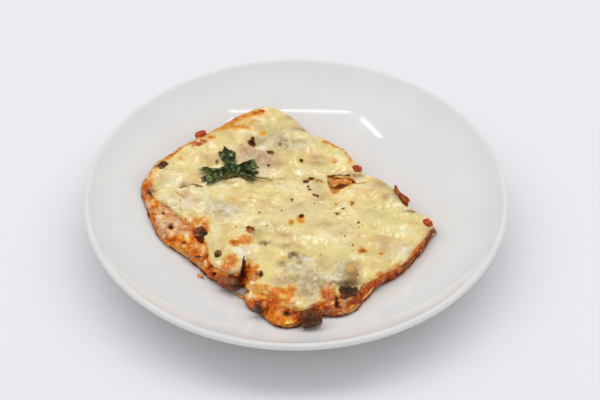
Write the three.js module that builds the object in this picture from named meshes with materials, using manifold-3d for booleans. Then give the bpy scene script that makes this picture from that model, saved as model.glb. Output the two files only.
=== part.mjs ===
// A slice of lasagne on its round coupe plate, with a sprig of parsley on top.
// Millimetres, +Z up. The origin is the centre of the plate's foot, on the table.
// The slice is a stack of sheets that run right through it: sauce, pasta, meat filling, pasta, cheese.
// Every sheet shares the same rings of points, so two sheets that meet stay the same gap apart.
import * as THREE from 'three';
import { mergeVertices } from 'three/addons/utils/BufferGeometryUtils.js';
import Module from 'manifold-3d';

const wasm = await Module();
wasm.setup();

const GAP = 0.35; // air between solids that touch
const MERGE_WITHIN = 1e-3; // points closer than this are one point

// ---- driving dimensions: plate ----
const PLATE = {
  floorTop: 8, // height of the well at its centre
  wellRadius: 121,
  wellRise: 22, // how much higher the well is at wellRadius
  wellCurve: 2.8, // power of the well's curve: flat in the middle, steep at the edge
  wellEnd: 119.8, // the lip takes over from here
  wellRadii: [114, 106, 97, 86, 73, 56, 32, 0], // where the well's profile has points
  wallAtCentre: 5,
  wallAtRim: 4,
  wallEnd: 120.5,
  wallRadii: [78, 90, 101, 110, 116], // where the underside's profile has points
  lipCentre: 123,
  lipHeight: 31,
  lipRadius: 2,
  lipArc: { from: -45, to: 180, step: 45 }, // degrees, 0 is outwards and 90 is up
  footInner: 58,
  footOuter: 67,
  footFlat: 5.2, // width of the flat ring that stands on the table
  footHeight: 3,
  sides: 60,
};

// ---- driving dimensions: slice ----
const SLICE = {
  x: -7,
  y: -7.5,
  turn: -47, // degrees from +X to the slice's long axis
  halfLength: 82.5,
  halfWidth: 62.5,
  squareness: 4.4, // power of the rounded rectangle
};

// Swellings and notches of the foot's outline:
// degrees from the long axis, spread in degrees, millimetres outwards.
const FOOT_BUMPS = {
  leftSide: [-176, 9, 2.2],
  leftCorner: [-138, 6, -3],
  leftSpill: [-116, 8, 3.5],
  frontLeft: [-86, 7, 1.5],
  cleft: [-65.5, 2.4, -10.5],
  cleftShoulder: [-57.5, 3, 2.5],
  frontCorner: [-44, 5.5, 9.5],
  frontNotch: [-29, 4, -5],
  frontSpill: [-18, 5, 2.5],
  waist: [1, 7, -4.5],
  rightSide: [25, 8, -4],
  rightCorner: [40.5, 3, 5.5],
  rightShoulder: [49, 6, -6.5],
  creaseEnd: [86, 5, -2],
  backSide: [104, 6, 2.5],
  backShoulder: [125, 5, -3],
  backCorner: [142, 8, 4],
};

// How far the edge of the cheese lies inside the foot: the filling has slumped out at the front.
const CHEESE_INSET = 1.2;
const INSET_BUMPS = {
  leftSpill: [-118, 15, 18],
  cleft: [-66, 6, 5],
  frontCorner: [-45, 7, 13],
  mushroomNotch: [-20, 4.5, 9],
  rightSpill: [-10, 4, 2.5],
};

const SAUCE = { thickness: 1.2, edge: 0.7 };

const PASTA = {
  thickness: 1.1,
  inset: 0.7,
  stripReach: 0.6, // how much further in its edge lies between the stretches that stick out
  stretches: 7, // round the slice
  edgeDrop: 0.3, // the sauce below is thinner at its edge
};

const FILLING = {
  inset: 1.4,
  footEdge: 0.8, // height of its upright edge at the foot
  fullness: 0.75, // power of the side's quarter arc: below 1 it bulges
  fullCragReach: 2, // where the side reaches out less than this, its crags are smaller
  leastReach: 0.2,
};

// Crags of the mince along the filling's side: waves round the slice, lean up the side, height.
const CRAGS = {
  coarse: { around: 23, lean: 5, height: 0.56 },
  fine: { around: 41, lean: -9, height: 0.4 },
};

const CHEESE = { thickness: 2.6, overhang: 2.7 };

// The top of the cheese is level in the middle and rises by half as much as the plate below it.
const TOP = { height: 25, follow: 0.5 };

// Swellings and hollows of the top: millimetres along and across the slice, radius, height.
const TOP_LOBES = {
  frontLobe: [-18, -12, 20, 1.3],
  middle: [12, 4, 18, 0.8],
  rightLobe: [30, 36, 14, 0.9],
  backLobe: [-48, 26, 16, 1.1],
  mushroomUnderCheese: [59, -9, 8, 1.8],
  stepAboveTear: [-3, 52, 6, 1.1],
  bubbleAtCleft: [5, -42, 7, 1.3],
  rightCornerDrop: [70, 55, 35, -2],
};

// The fold that runs across the cheese from notch to notch, as points along and across the slice.
const CREASE_PATH = [[-66, -50], [-54, -31], [-43, -6], [-21, 16], [0, 36], [8, 60]];
const CREASE = {
  depth: 2.2,
  spread: 5.5,
  endDepth: 1.4, // how much deeper it is at the two notches
  endSpread: 11,
  share: 0.7, // the part of its depth that reaches the sheets below the cheese
};

// The lower sheets are a little wavy where they lie on each other.
const WAVE = { height: 0.35, lengthX: 9, lengthY: 8, phaseX: 1.3, phaseY: -0.4 };

// The tear in the cheese where the pasta shows, as points along and across the slice.
const TEAR_PATH = [[-4.5, 40], [4, 47], [12, 49], [11, 41], [9.5, 31.5], [5.5, 32]];
const TEAR_DEPTH = 12;

// ---- driving dimensions: thin strips ----
const STRIP = { steps: 8, stepsAcross: 2, curl: 0.25, curlWaves: 9 };
const FOLD = { length: 12, width: 6, thickness: 1, rise: 1.6, at: [6.5, 41.2], lift: 1.9, tilt: -8, turn: 8 };
const FLAKE = { length: 15, width: 5.5, thickness: 1, rise: 1.4, at: [62.6, 3.2, 24.8], turn: [76, 0, -60] };

// ---- driving dimensions: lumps of vegetable ----
const LUMPS = {
  aubergine_front: { size: [11.5, 7.5, 7], at: [8.5, -98.5, 26.6], turn: [20, 0, 10], kind: 'aubergine' },
  mushroom_front: { size: [7.5, 6, 6.5], at: [-19.5, -87, 24.5], turn: [10, 8, 35], kind: 'mushroom' },
  mushroom_cleft: { size: [13, 6, 5.5], at: [-37.5, -64.5, 19.8], turn: [8, 0, -25], kind: 'mushroom' },
  mushroom_notch: { size: [11, 8, 6], at: [-54.5, -28, 21.6], turn: [0, 12, -50], kind: 'mushroom' },
  mushroom_side: { size: [11, 7.5, 5], at: [29, -75.5, 24.6], turn: [10, 0, 30], kind: 'mushroom' },
  aubergine_left: { size: [8, 4.5, 4], at: [-81, 27, 26.6], turn: [0, 8, 52], kind: 'aubergine' },
  pepper_right: { size: [4.4, 5.5, 7], at: [77, -20.5, 24], turn: [0, -10, 25], kind: 'pepper' },
  pepper_notch: { size: [5, 4.4, 3.8], at: [37, 29.6, 22.8], turn: [0, 10, 40], kind: 'pepper' },
  pepper_back: { size: [6.5, 3.6, 3.2], at: [-59, 57.5, 26.3], turn: [0, 0, 30], kind: 'pepper' },
  caper: { size: [4.8, 4.8, 4.6], at: [-44.5, -47.5, 26], turn: [0, 0, 0], kind: 'caper' },
};

const LUMP = {
  divisions: 2, // along each side of the box it starts from
  rounding: 0.45, // 0 is a box, 1 an ellipsoid
  roughness: 0.07,
  knockStep: 7, // radians from one point's knock to the next
};

// ---- driving dimensions: parsley ----
// A lobe is its direction in degrees, its spread in degrees and its length in millimetres.
const PARSLEY = {
  x: -38.4,
  y: 25.3,
  core: 5,
  lobes: {
    up: [113, 21, 14],
    left: [184, 19, 15],
    lowLeft: [213, 18, 13.5],
    right: [6, 18, 10],
    lowRight: [-22, 19, 11.5],
  },
  lobeSquareness: 4,
  frills: { coarse: [18, 0, 1.1], fine: [27, 40, 0.55] }, // waves round the leaf, phase, height
  fullFrillRadius: 12, // nearer the middle the frills are smaller
  ripple: 0.9,
  ripples: 9,
  rippleLean: 3,
  thickness: 0.5,
  clearance: 0.7,
  sides: 54,
  rings: [0.3, 0.65, 1],
};

const STEM = {
  from: [-20.6, 18.2],
  to: [-13.8, 15.2],
  bend: [0, 0.5, 0.4],
  thickness: 0.9,
  clearance: 1.1,
  steps: 6,
  curveSegments: 6,
};

// ---- driving dimensions: rings ----
const FINE = { from: -84, to: -24, step: 2.5 }; // the broken-up front corner
const COARSE_STEP = 6;
const INNER_RINGS = [0.45, 0.8, 1]; // shares of the inner outline
const TOP_RINGS = [0.97, 0.9, 0.8, 0.69, 0.57, 0.45, 0.33, 0.18];
const SIDE_RINGS = [0.14, 0.38, 0.62, 0.86]; // shares of the filling's side, from the foot up

// The cheese's rounded edge, as millimetres outwards and up from the end of its underside.
const CHEESE_RIM = [[0.5, 0], [0.6, -1], [1.7, -1.1], [2.6, -0.4], [2.7, 0.7], [1.9, 1.8]];

const MATERIALS = {
  porcelain: { color: 0xf2f2f0, roughness: 0.18 },
  sauce: { color: 0x7a2410, roughness: 0.4 },
  pasta: { color: 0xe3b45e, roughness: 0.5 },
  filling: { color: 0xb05a32, roughness: 0.6 },
  cheese: { color: 0xe8dca4, roughness: 0.4 },
  brownedPasta: { color: 0xa8622a, roughness: 0.45 },
  aubergine: { color: 0x3b2a22, roughness: 0.5 },
  mushroom: { color: 0x3e2a20, roughness: 0.5 },
  pepper: { color: 0xb93a1c, roughness: 0.5 },
  caper: { color: 0x6b4a1c, roughness: 0.5 },
  leaf: { color: 0x1f4a26, roughness: 0.55 },
  stem: { color: 0x2f5a2a, roughness: 0.55 },
};

const radians = THREE.MathUtils.degToRad;

function bell(distance, spread) {
  return Math.exp(-0.5 * (distance / spread) ** 2);
}

function turnBetween(a, b) {
  return THREE.MathUtils.euclideanModulo(a - b + 180, 360) - 180;
}

function sumOfBumps(bumps, turn) {
  let sum = 0;
  for (const [centre, spread, height] of Object.values(bumps)) {
    sum += height * bell(turnBetween(turn, centre), spread);
  }
  return sum;
}

// ---- outlines: radius from the slice's centre at a turn from its long axis ----
function footRadius(turn) {
  const along = Math.abs(Math.cos(radians(turn))) / SLICE.halfLength;
  const across = Math.abs(Math.sin(radians(turn))) / SLICE.halfWidth;
  const rounded = (along ** SLICE.squareness + across ** SLICE.squareness) ** (-1 / SLICE.squareness);
  return rounded + sumOfBumps(FOOT_BUMPS, turn);
}

function cheeseRadius(turn) {
  return footRadius(turn) - CHEESE_INSET - sumOfBumps(INSET_BUMPS, turn);
}

// The upper pasta and the top of the filling end here, under the cheese's overhang.
function innerRadius(turn) {
  return cheeseRadius(turn) - CHEESE.overhang;
}

function inSlice(along, across) {
  const turn = radians(SLICE.turn);
  const x = SLICE.x + along * Math.cos(turn) - across * Math.sin(turn);
  const y = SLICE.y + along * Math.sin(turn) + across * Math.cos(turn);
  return new THREE.Vector2(x, y);
}

function sliceAxes(x, y) {
  const offset = new THREE.Vector2(x - SLICE.x, y - SLICE.y);
  return offset.rotateAround(new THREE.Vector2(), -radians(SLICE.turn));
}

// ---- heights ----
function wellHeight(radius) {
  const share = Math.min(radius, PLATE.wellRadius) / PLATE.wellRadius;
  return PLATE.floorTop + PLATE.wellRise * share ** PLATE.wellCurve;
}

function creaseSink(along, across) {
  const point = new THREE.Vector3(along, across, 0);
  let nearest = Infinity;
  CREASE_PATH.slice(1).forEach((end, i) => {
    const start = new THREE.Vector3(...CREASE_PATH[i], 0);
    const segment = new THREE.Line3(start, new THREE.Vector3(...end, 0));
    const closest = segment.closestPointToPoint(point, true, new THREE.Vector3());
    nearest = Math.min(nearest, closest.distanceTo(point));
  });
  let ends = 0;
  for (const [a, b] of [CREASE_PATH[0], CREASE_PATH.at(-1)]) {
    ends += CREASE.endDepth * bell(Math.hypot(along - a, across - b), CREASE.endSpread);
  }
  return CREASE.depth * bell(nearest, CREASE.spread) + ends;
}

function lobes(along, across) {
  let sum = 0;
  for (const [a, b, radius, height] of Object.values(TOP_LOBES)) {
    sum += height * bell(Math.hypot(along - a, across - b), radius);
  }
  return sum;
}

function topHeight(x, y) {
  const { x: along, y: across } = sliceAxes(x, y);
  const level = TOP.height + TOP.follow * (wellHeight(Math.hypot(x, y)) - PLATE.floorTop);
  return level + lobes(along, across) - creaseSink(along, across);
}

// The fold reaches down into the sheets below the cheese, but less deep there.
function cheeseFloor(x, y) {
  const { x: along, y: across } = sliceAxes(x, y);
  return topHeight(x, y) - CHEESE.thickness + (1 - CREASE.share) * creaseSink(along, across);
}

function wave(x, y) {
  const alongX = Math.sin(x / WAVE.lengthX + WAVE.phaseX);
  const alongY = Math.sin(y / WAVE.lengthY + WAVE.phaseY);
  return WAVE.height * alongX * alongY;
}

const LEVEL = {
  sauceFloor: (x, y) => wellHeight(Math.hypot(x, y)) + GAP,
  sauceTop: (x, y) => LEVEL.sauceFloor(x, y) + SAUCE.thickness + wave(x, y),
  lowerPastaFloor: (x, y) => LEVEL.sauceTop(x, y) + GAP,
  lowerPastaTop: (x, y) => LEVEL.lowerPastaFloor(x, y) + PASTA.thickness,
  fillingFloor: (x, y) => LEVEL.lowerPastaTop(x, y) + GAP,
  fillingTop: (x, y) => LEVEL.upperPastaFloor(x, y) - GAP,
  upperPastaFloor: (x, y) => LEVEL.upperPastaTop(x, y) - PASTA.thickness,
  upperPastaTop: (x, y) => cheeseFloor(x, y) - GAP,
};

// ---- rings and shells ----
function anglesAround() {
  const angles = [];
  let turn = -180;
  while (turn < 180) {
    angles.push(turn);
    turn += turn >= FINE.from && turn < FINE.to ? FINE.step : COARSE_STEP;
  }
  return angles;
}
const ANGLES = anglesAround();

function pointAt(turn, radius, heightOf) {
  const { x, y } = inSlice(radius * Math.cos(radians(turn)), radius * Math.sin(radians(turn)));
  return new THREE.Vector3(x, y, heightOf(x, y));
}

function ring(radiusOf, heightOf) {
  return ANGLES.map((turn) => pointAt(turn, radiusOf(turn), heightOf));
}

function innerRings(heightOf) {
  return INNER_RINGS.map((share) => ring((turn) => share * innerRadius(turn), heightOf));
}

function geometryOf(positions, index) {
  const geometry = new THREE.BufferGeometry();
  geometry.setAttribute('position', new THREE.Float32BufferAttribute(positions, 3));
  geometry.setIndex(index);
  geometry.computeVertexNormals();
  return geometry;
}

// A closed skin: a fan at the bottom, strips outwards, up the side and inwards, and a fan on top.
// Strips from firstTopStrip on split their quads the other way, so that facing sheets match.
function shell(rings, firstTopStrip) {
  const count = ANGLES.length;
  const centre = (ringOfPoints) => {
    const sum = ringOfPoints.reduce((total, point) => total + point.z, 0);
    return new THREE.Vector3(SLICE.x, SLICE.y, sum / count);
  };
  const points = [centre(rings[0]), ...rings.flat(), centre(rings.at(-1))];
  const vertex = (level, i) => 1 + level * count + (i % count);
  const index = [];
  for (let i = 0; i < count; i += 1) {
    index.push(0, vertex(0, i + 1), vertex(0, i));
    for (let level = 0; level < rings.length - 1; level += 1) {
      const [a, b] = [vertex(level, i), vertex(level, i + 1)];
      const [d, c] = [vertex(level + 1, i), vertex(level + 1, i + 1)];
      index.push(...(level < firstTopStrip ? [a, b, c, a, c, d] : [a, b, d, b, c, d]));
    }
    index.push(points.length - 1, vertex(rings.length - 1, i), vertex(rings.length - 1, i + 1));
  }
  return geometryOf(points.flatMap((point) => point.toArray()), index);
}

// ---- solid cutting ----
function solidOf(geometry) {
  const bare = new THREE.BufferGeometry();
  bare.setAttribute('position', geometry.getAttribute('position'));
  bare.setIndex(geometry.getIndex());
  const merged = mergeVertices(bare, MERGE_WITHIN);
  const vertProperties = new Float32Array(merged.getAttribute('position').array);
  const triVerts = new Uint32Array(merged.getIndex().array);
  return new wasm.Manifold(new wasm.Mesh({ numProp: 3, vertProperties, triVerts }));
}

// Takes the cutters out of a geometry and keeps the largest piece that is left.
function cut(geometry, cutters) {
  let solid = solidOf(geometry);
  for (const cutter of cutters) {
    solid = solid.subtract(solidOf(cutter));
  }
  const pieces = solid.decompose().sort((a, b) => b.volume() - a.volume());
  const mesh = pieces[0].getMesh();
  return geometryOf(Array.from(mesh.vertProperties), Array.from(mesh.triVerts));
}

// ---- plate ----
function footProfile() {
  const { footInner, footOuter, footFlat, footHeight } = PLATE;
  const middle = (footInner + footOuter) / 2;
  return [[0, footHeight], [footInner, footHeight], [middle - footFlat / 2, 0], [middle + footFlat / 2, 0]];
}

function undersideProfile() {
  return [PLATE.footOuter, ...PLATE.wallRadii, PLATE.wallEnd].map((radius) => {
    const share = radius / PLATE.wellRadius;
    const wall = THREE.MathUtils.lerp(PLATE.wallAtCentre, PLATE.wallAtRim, share);
    return [radius, wellHeight(radius) - wall];
  });
}

function lipProfile() {
  const { lipArc, lipCentre, lipHeight, lipRadius } = PLATE;
  const profile = [];
  for (let turn = lipArc.from; turn <= lipArc.to; turn += lipArc.step) {
    const outwards = lipRadius * Math.cos(radians(turn));
    const up = lipRadius * Math.sin(radians(turn));
    profile.push([lipCentre + outwards, lipHeight + up]);
  }
  return profile;
}

function wellProfile() {
  return [PLATE.wellEnd, ...PLATE.wellRadii].map((radius) => [radius, wellHeight(radius)]);
}

function plate() {
  const profile = [...footProfile(), ...undersideProfile(), ...lipProfile(), ...wellProfile()];
  const points = profile.map(([radius, height]) => new THREE.Vector2(radius, height));
  return new THREE.LatheGeometry(points, PLATE.sides).rotateX(Math.PI / 2);
}

// ---- sheets ----
function sauceSheet() {
  const edge = (x, y) => LEVEL.sauceFloor(x, y) + SAUCE.edge;
  const low = [...innerRings(LEVEL.sauceFloor), ring(footRadius, LEVEL.sauceFloor)];
  const high = [ring(footRadius, edge), ...innerRings(LEVEL.sauceTop).reverse()];
  return shell([...low, ...high], low.length);
}

// The lower pasta sticks out a little in places, with an edge that comes and goes.
function lowerPastaRadius(turn) {
  const comesAndGoes = 0.5 + 0.5 * Math.sin(radians(turn * PASTA.stretches));
  return footRadius(turn) - PASTA.inset - PASTA.stripReach * comesAndGoes;
}

function lowerPastaSheet() {
  const low = innerRings(LEVEL.lowerPastaFloor);
  const high = innerRings(LEVEL.lowerPastaTop).reverse();
  const lowEdge = ring(lowerPastaRadius, (x, y) => LEVEL.lowerPastaFloor(x, y) - PASTA.edgeDrop);
  const highEdge = ring(lowerPastaRadius, (x, y) => LEVEL.lowerPastaTop(x, y) - PASTA.edgeDrop);
  return shell([...low, lowEdge, highEdge, ...high], low.length + 1);
}

function upperPastaSheet() {
  const low = innerRings(LEVEL.upperPastaFloor);
  return shell([...low, ...innerRings(LEVEL.upperPastaTop).reverse()], low.length);
}

function crags(turn, share) {
  let sum = 0;
  for (const { around, lean, height } of Object.values(CRAGS)) {
    sum += height * Math.sin(radians(turn * around) + lean * share);
  }
  return sum;
}

// The filling's side swells from its foot to its top, like slumped mince.
function fillingSide(share) {
  const quarter = (share * Math.PI) / 2;
  const out = Math.cos(quarter) ** FILLING.fullness;
  const up = Math.sin(quarter) ** FILLING.fullness;
  return ANGLES.map((turn) => {
    const inner = innerRadius(turn);
    const reach = footRadius(turn) - FILLING.inset - inner;
    const foot = pointAt(turn, inner + reach, (x, y) => LEVEL.fillingFloor(x, y) + FILLING.footEdge);
    const top = pointAt(turn, inner, LEVEL.fillingTop);
    const relief = crags(turn, share) * Math.min(1, reach / FILLING.fullCragReach);
    const radius = Math.max(inner + reach * out + relief, inner + FILLING.leastReach);
    return pointAt(turn, radius, () => THREE.MathUtils.lerp(foot.z, top.z, up));
  });
}

function fillingSheet() {
  const foot = ring((turn) => footRadius(turn) - FILLING.inset, LEVEL.fillingFloor);
  const low = [...innerRings(LEVEL.fillingFloor), foot];
  const side = SIDE_RINGS.map(fillingSide);
  const high = innerRings(LEVEL.fillingTop).reverse();
  return shell([...low, ...side, ...high], low.length + side.length);
}

function cheeseSheet() {
  const low = innerRings(cheeseFloor);
  const rim = CHEESE_RIM.map(([outwards, up]) => ANGLES.map((turn) => {
    const inner = pointAt(turn, innerRadius(turn), cheeseFloor);
    return pointAt(turn, innerRadius(turn) + outwards, () => inner.z + up);
  }));
  const high = TOP_RINGS.map((share) => ring((turn) => share * innerRadius(turn), topHeight));
  return shell([...low, ...rim, ...high], low.length + rim.length - 1);
}

// ---- the tear in the cheese ----
function tearCutter() {
  const outline = new THREE.Shape(TEAR_PATH.map(([along, across]) => inSlice(along, across)));
  const cutter = new THREE.ExtrudeGeometry(outline, { depth: TEAR_DEPTH, bevelEnabled: false });
  return cutter.translate(0, 0, TOP.height - TEAR_DEPTH / 2);
}

// ---- thin strips: the folded pasta in the tear, and the flake at the right edge ----
// A strip is bent up along its length, and curls more at its ends.
function bentStrip({ length, width, thickness, rise }, grow) {
  const size = [length, width, thickness].map((side) => side + 2 * grow);
  const strip = new THREE.BoxGeometry(...size, STRIP.steps, STRIP.stepsAcross, 1);
  const position = strip.getAttribute('position');
  for (let i = 0; i < position.count; i += 1) {
    const share = position.getX(i) / length;
    const lift = rise * Math.cos(share * Math.PI) ** 2;
    const curl = STRIP.curl * rise * Math.sin(share * STRIP.curlWaves) * (position.getY(i) / width);
    position.setZ(i, position.getZ(i) + lift + curl);
  }
  return strip;
}

function foldedPasta(grow = 0) {
  const fold = bentStrip(FOLD, grow).rotateX(radians(FOLD.tilt)).rotateZ(radians(FOLD.turn));
  const { x, y } = inSlice(...FOLD.at);
  return fold.translate(x, y, cheeseFloor(x, y) + FOLD.lift);
}

// Turns about X, then Y, then Z, in degrees.
function turned(degrees) {
  return new THREE.Matrix4().makeRotationFromEuler(new THREE.Euler(...degrees.map(radians), 'ZYX'));
}

function standingFlake(grow = 0) {
  return bentStrip(FLAKE, grow).applyMatrix4(turned(FLAKE.turn)).translate(...FLAKE.at);
}

// ---- lumps of vegetable ----
// A lump is a unit box with its sides divided, rounded, knocked about and stretched to its size.
function lump({ size, at, turn }, grow = 0) {
  const { divisions, rounding, roughness, knockStep } = LUMP;
  const geometry = new THREE.BoxGeometry(1, 1, 1, divisions, divisions, divisions);
  geometry.deleteAttribute('normal');
  geometry.deleteAttribute('uv');
  const merged = mergeVertices(geometry, MERGE_WITHIN);
  const position = merged.getAttribute('position');
  const stretch = new THREE.Vector3(...size.map((side) => side + 2 * grow));
  const point = new THREE.Vector3();
  for (let i = 0; i < position.count; i += 1) {
    point.fromBufferAttribute(position, i);
    const onBall = point.clone().setLength(0.5);
    point.lerp(onBall, rounding);
    point.multiplyScalar(1 + roughness * Math.sin(knockStep * i + at[0] + at[1]));
    point.multiply(stretch);
    position.setXYZ(i, point.x, point.y, point.z);
  }
  merged.applyMatrix4(turned(turn));
  merged.translate(...at);
  merged.computeVertexNormals();
  return merged;
}

// ---- parsley ----
function parsleyRadius(turn) {
  let radius = PARSLEY.core;
  for (const [centre, spread, length] of Object.values(PARSLEY.lobes)) {
    const away = Math.abs(turnBetween(turn, centre)) / spread;
    radius = Math.max(radius, PARSLEY.core + length * Math.exp(-(away ** PARSLEY.lobeSquareness)));
  }
  let frill = 0;
  for (const [waves, phase, height] of Object.values(PARSLEY.frills)) {
    frill += height * Math.sin(radians(turn * waves + phase));
  }
  return radius + frill * Math.min(1, radius / PARSLEY.fullFrillRadius);
}

function parsleyPoint(turn, share, side) {
  const radius = share * parsleyRadius(turn);
  const x = PARSLEY.x + radius * Math.cos(radians(turn));
  const y = PARSLEY.y + radius * Math.sin(radians(turn));
  const wavy = 1 + Math.sin(radians(turn * PARSLEY.ripples) + PARSLEY.rippleLean * share);
  const z = topHeight(x, y) + PARSLEY.clearance + PARSLEY.ripple * wavy * share;
  return new THREE.Vector3(x, y, z + side * PARSLEY.thickness);
}

// Side 0 is the lower face and side 1 the upper one. Both are split into triangles alike.
function parsleyLeaf() {
  const { sides, rings } = PARSLEY;
  const points = [];
  for (const side of [0, 1]) {
    points.push(parsleyPoint(0, 0, side));
    for (const share of rings) {
      for (let i = 0; i < sides; i += 1) {
        points.push(parsleyPoint((360 * i) / sides, share, side));
      }
    }
  }
  const faceSize = points.length / 2;
  const vertex = (side, level, i) => side * faceSize + 1 + level * sides + (i % sides);
  const index = [];
  for (let i = 0; i < sides; i += 1) {
    index.push(0, vertex(0, 0, i + 1), vertex(0, 0, i));
    index.push(faceSize, vertex(1, 0, i), vertex(1, 0, i + 1));
    for (let level = 0; level < rings.length - 1; level += 1) {
      for (const side of [0, 1]) {
        const quad = [vertex(side, level, i), vertex(side, level, i + 1)];
        quad.push(vertex(side, level + 1, i + 1), vertex(side, level + 1, i));
        const [a, b, c, d] = side === 0 ? quad : [quad[1], quad[0], quad[3], quad[2]];
        index.push(...(side === 0 ? [a, b, c, a, c, d] : [a, b, d, b, c, d]));
      }
    }
    const outer = rings.length - 1;
    const [a, b] = [vertex(0, outer, i), vertex(0, outer, i + 1)];
    const [d, c] = [vertex(1, outer, i), vertex(1, outer, i + 1)];
    index.push(a, b, c, a, c, d);
  }
  return geometryOf(points.flatMap((point) => point.toArray()), index);
}

function parsleyStem() {
  const [start, end] = [STEM.from, STEM.to].map(([x, y]) => {
    return new THREE.Vector3(x, y, topHeight(x, y) + STEM.clearance + STEM.thickness / 2);
  });
  const middle = start.clone().lerp(end, 0.5).add(new THREE.Vector3(...STEM.bend));
  const extrudePath = new THREE.CatmullRomCurve3([start, middle, end]);
  const section = new THREE.Shape().absarc(0, 0, STEM.thickness / 2, 0, 2 * Math.PI);
  const { steps, curveSegments } = STEM;
  return new THREE.ExtrudeGeometry(section, { steps, curveSegments, extrudePath });
}

// ---- assembly ----
const dish = new THREE.Group();

function add(name, geometry, { color, roughness }) {
  const mesh = new THREE.Mesh(geometry, new THREE.MeshStandardMaterial({ color, roughness, metalness: 0 }));
  mesh.name = name;
  dish.add(mesh);
}

const lumpCutters = [...Object.values(LUMPS).map((spec) => lump(spec, GAP)), standingFlake(GAP)];
const tearCutters = [tearCutter(), foldedPasta(GAP)];

add('plate', plate(), MATERIALS.porcelain);
add('sauce_lower', cut(sauceSheet(), lumpCutters), MATERIALS.sauce);
add('pasta_lower', cut(lowerPastaSheet(), lumpCutters), MATERIALS.pasta);
add('meat_filling', cut(fillingSheet(), lumpCutters), MATERIALS.filling);
add('pasta_upper', cut(upperPastaSheet(), lumpCutters), MATERIALS.pasta);
add('cheese_top', cut(cheeseSheet(), [...tearCutters, ...lumpCutters]), MATERIALS.cheese);
add('pasta_fold', foldedPasta(), MATERIALS.brownedPasta);
for (const [name, spec] of Object.entries(LUMPS)) {
  add(name, lump(spec), MATERIALS[spec.kind]);
}
add('pepper_flake', standingFlake(), MATERIALS.pepper);
add('parsley_leaf', parsleyLeaf(), MATERIALS.leaf);
add('parsley_stem', parsleyStem(), MATERIALS.stem);

export default dish;
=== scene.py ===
"""A slice of lasagne on its round coupe plate, with a sprig of parsley on top.

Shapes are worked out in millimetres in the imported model's frame, and become metres when a mesh is made.
Pixels are those of the 600 by 400 picture, and are turned into places on the food by the camera.
Noise is written in layers, each with the size of its lumps in millimetres, its height and its seed.
"""

import math

import bpy
import numpy as np
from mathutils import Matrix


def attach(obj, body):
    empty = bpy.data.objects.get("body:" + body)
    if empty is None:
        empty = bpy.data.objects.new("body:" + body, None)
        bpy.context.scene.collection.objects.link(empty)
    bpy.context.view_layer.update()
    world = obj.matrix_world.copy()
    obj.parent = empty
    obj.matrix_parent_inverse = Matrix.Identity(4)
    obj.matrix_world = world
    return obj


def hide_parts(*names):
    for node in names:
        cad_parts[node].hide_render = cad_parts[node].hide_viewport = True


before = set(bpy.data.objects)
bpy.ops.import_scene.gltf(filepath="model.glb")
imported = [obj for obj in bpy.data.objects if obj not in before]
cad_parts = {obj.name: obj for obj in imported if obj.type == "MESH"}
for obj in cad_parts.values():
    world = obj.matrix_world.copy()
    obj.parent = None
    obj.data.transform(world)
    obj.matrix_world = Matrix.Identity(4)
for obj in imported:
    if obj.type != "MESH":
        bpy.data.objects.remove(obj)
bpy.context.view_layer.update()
food = bpy.data.collections.new("food")  # what the light named shine falls on

MM = 0.001
GAP = 0.35  # air between pieces that touch

# ---- sizes of the plate ----
FLOOR_TOP = 8
WELL_RADIUS, WELL_RISE, WELL_CURVE, WELL_END = 121, 22, 2.8, 119.8
WALL_AT_CENTRE, WALL_AT_RIM, WALL_END = 5, 4, 120.5
LIP_CENTRE, LIP_HEIGHT, LIP_RADIUS = 123, 31, 2
FOOT_INNER, FOOT_OUTER, FOOT_FLAT, FOOT_HEIGHT = 58, 67, 5.2, 3
FOOT_EDGE, FOOT_EDGE_HEIGHT, FOOT_SLOPE = 0.2, 0.25, 0.3
RIM_RISE, RIM_START = 1.5, 106  # the well steepens a little just inside its lip
PLATE_SIDES, WALL_STEPS, WELL_STEPS = 300, 24, 90

# ---- sizes of the slice ----
SLICE_X, SLICE_Y, SLICE_TURN = -7, -7.5, -47
HALF_LENGTH, HALF_WIDTH, SQUARENESS = 82.5, 62.5, 4.4

# Degrees from the long axis, spread in degrees, millimetres outwards.
FOOT_BUMPS = [
    (-176, 9, 2.2), (-138, 6, -3), (-116, 8, 3.5), (-86, 7, 1.5), (-65.5, 2.4, -10.5), (-57.5, 3, 2.5),
    (-44, 5.5, 9.5), (-29, 4, -5), (-18, 5, 2.5), (1, 7, -4.5), (25, 8, -4), (40.5, 3, 5.5),
    (49, 6, -6.5), (86, 5, -2), (104, 6, 2.5), (125, 5, -3), (142, 8, 4),
]
CHEESE_INSET = 1.2
INSET_BUMPS = [(-118, 15, 18), (-66, 6, 5), (-45, 7, 13), (-20, 4.5, 9), (-10, 4, 2.5)]

SAUCE_THICKNESS, SAUCE_INSET, SAUCE_EDGE, SAUCE_DROP = 1.2, 0.4, 0.95, 0.05
PASTA_THICKNESS, PASTA_INSET, PASTA_REACH, PASTA_STRETCHES, PASTA_DROP = 1.1, 0.7, 0.6, 7, 0.3
FILLING_INSET, FILLING_FOOT, FILLING_FULLNESS, FILLING_LEAST = 1.4, 0.8, 0.75, 0.2
CHEESE_THICKNESS, CHEESE_OVERHANG = 2.6, 2.7
CHEESE_RIM = [(0.5, 0), (0.6, -1), (1.7, -1.1), (2.6, -0.4), (2.7, 0.7), (1.9, 1.8)]

TOP_HEIGHT, TOP_FOLLOW = 25, 0.5
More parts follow.
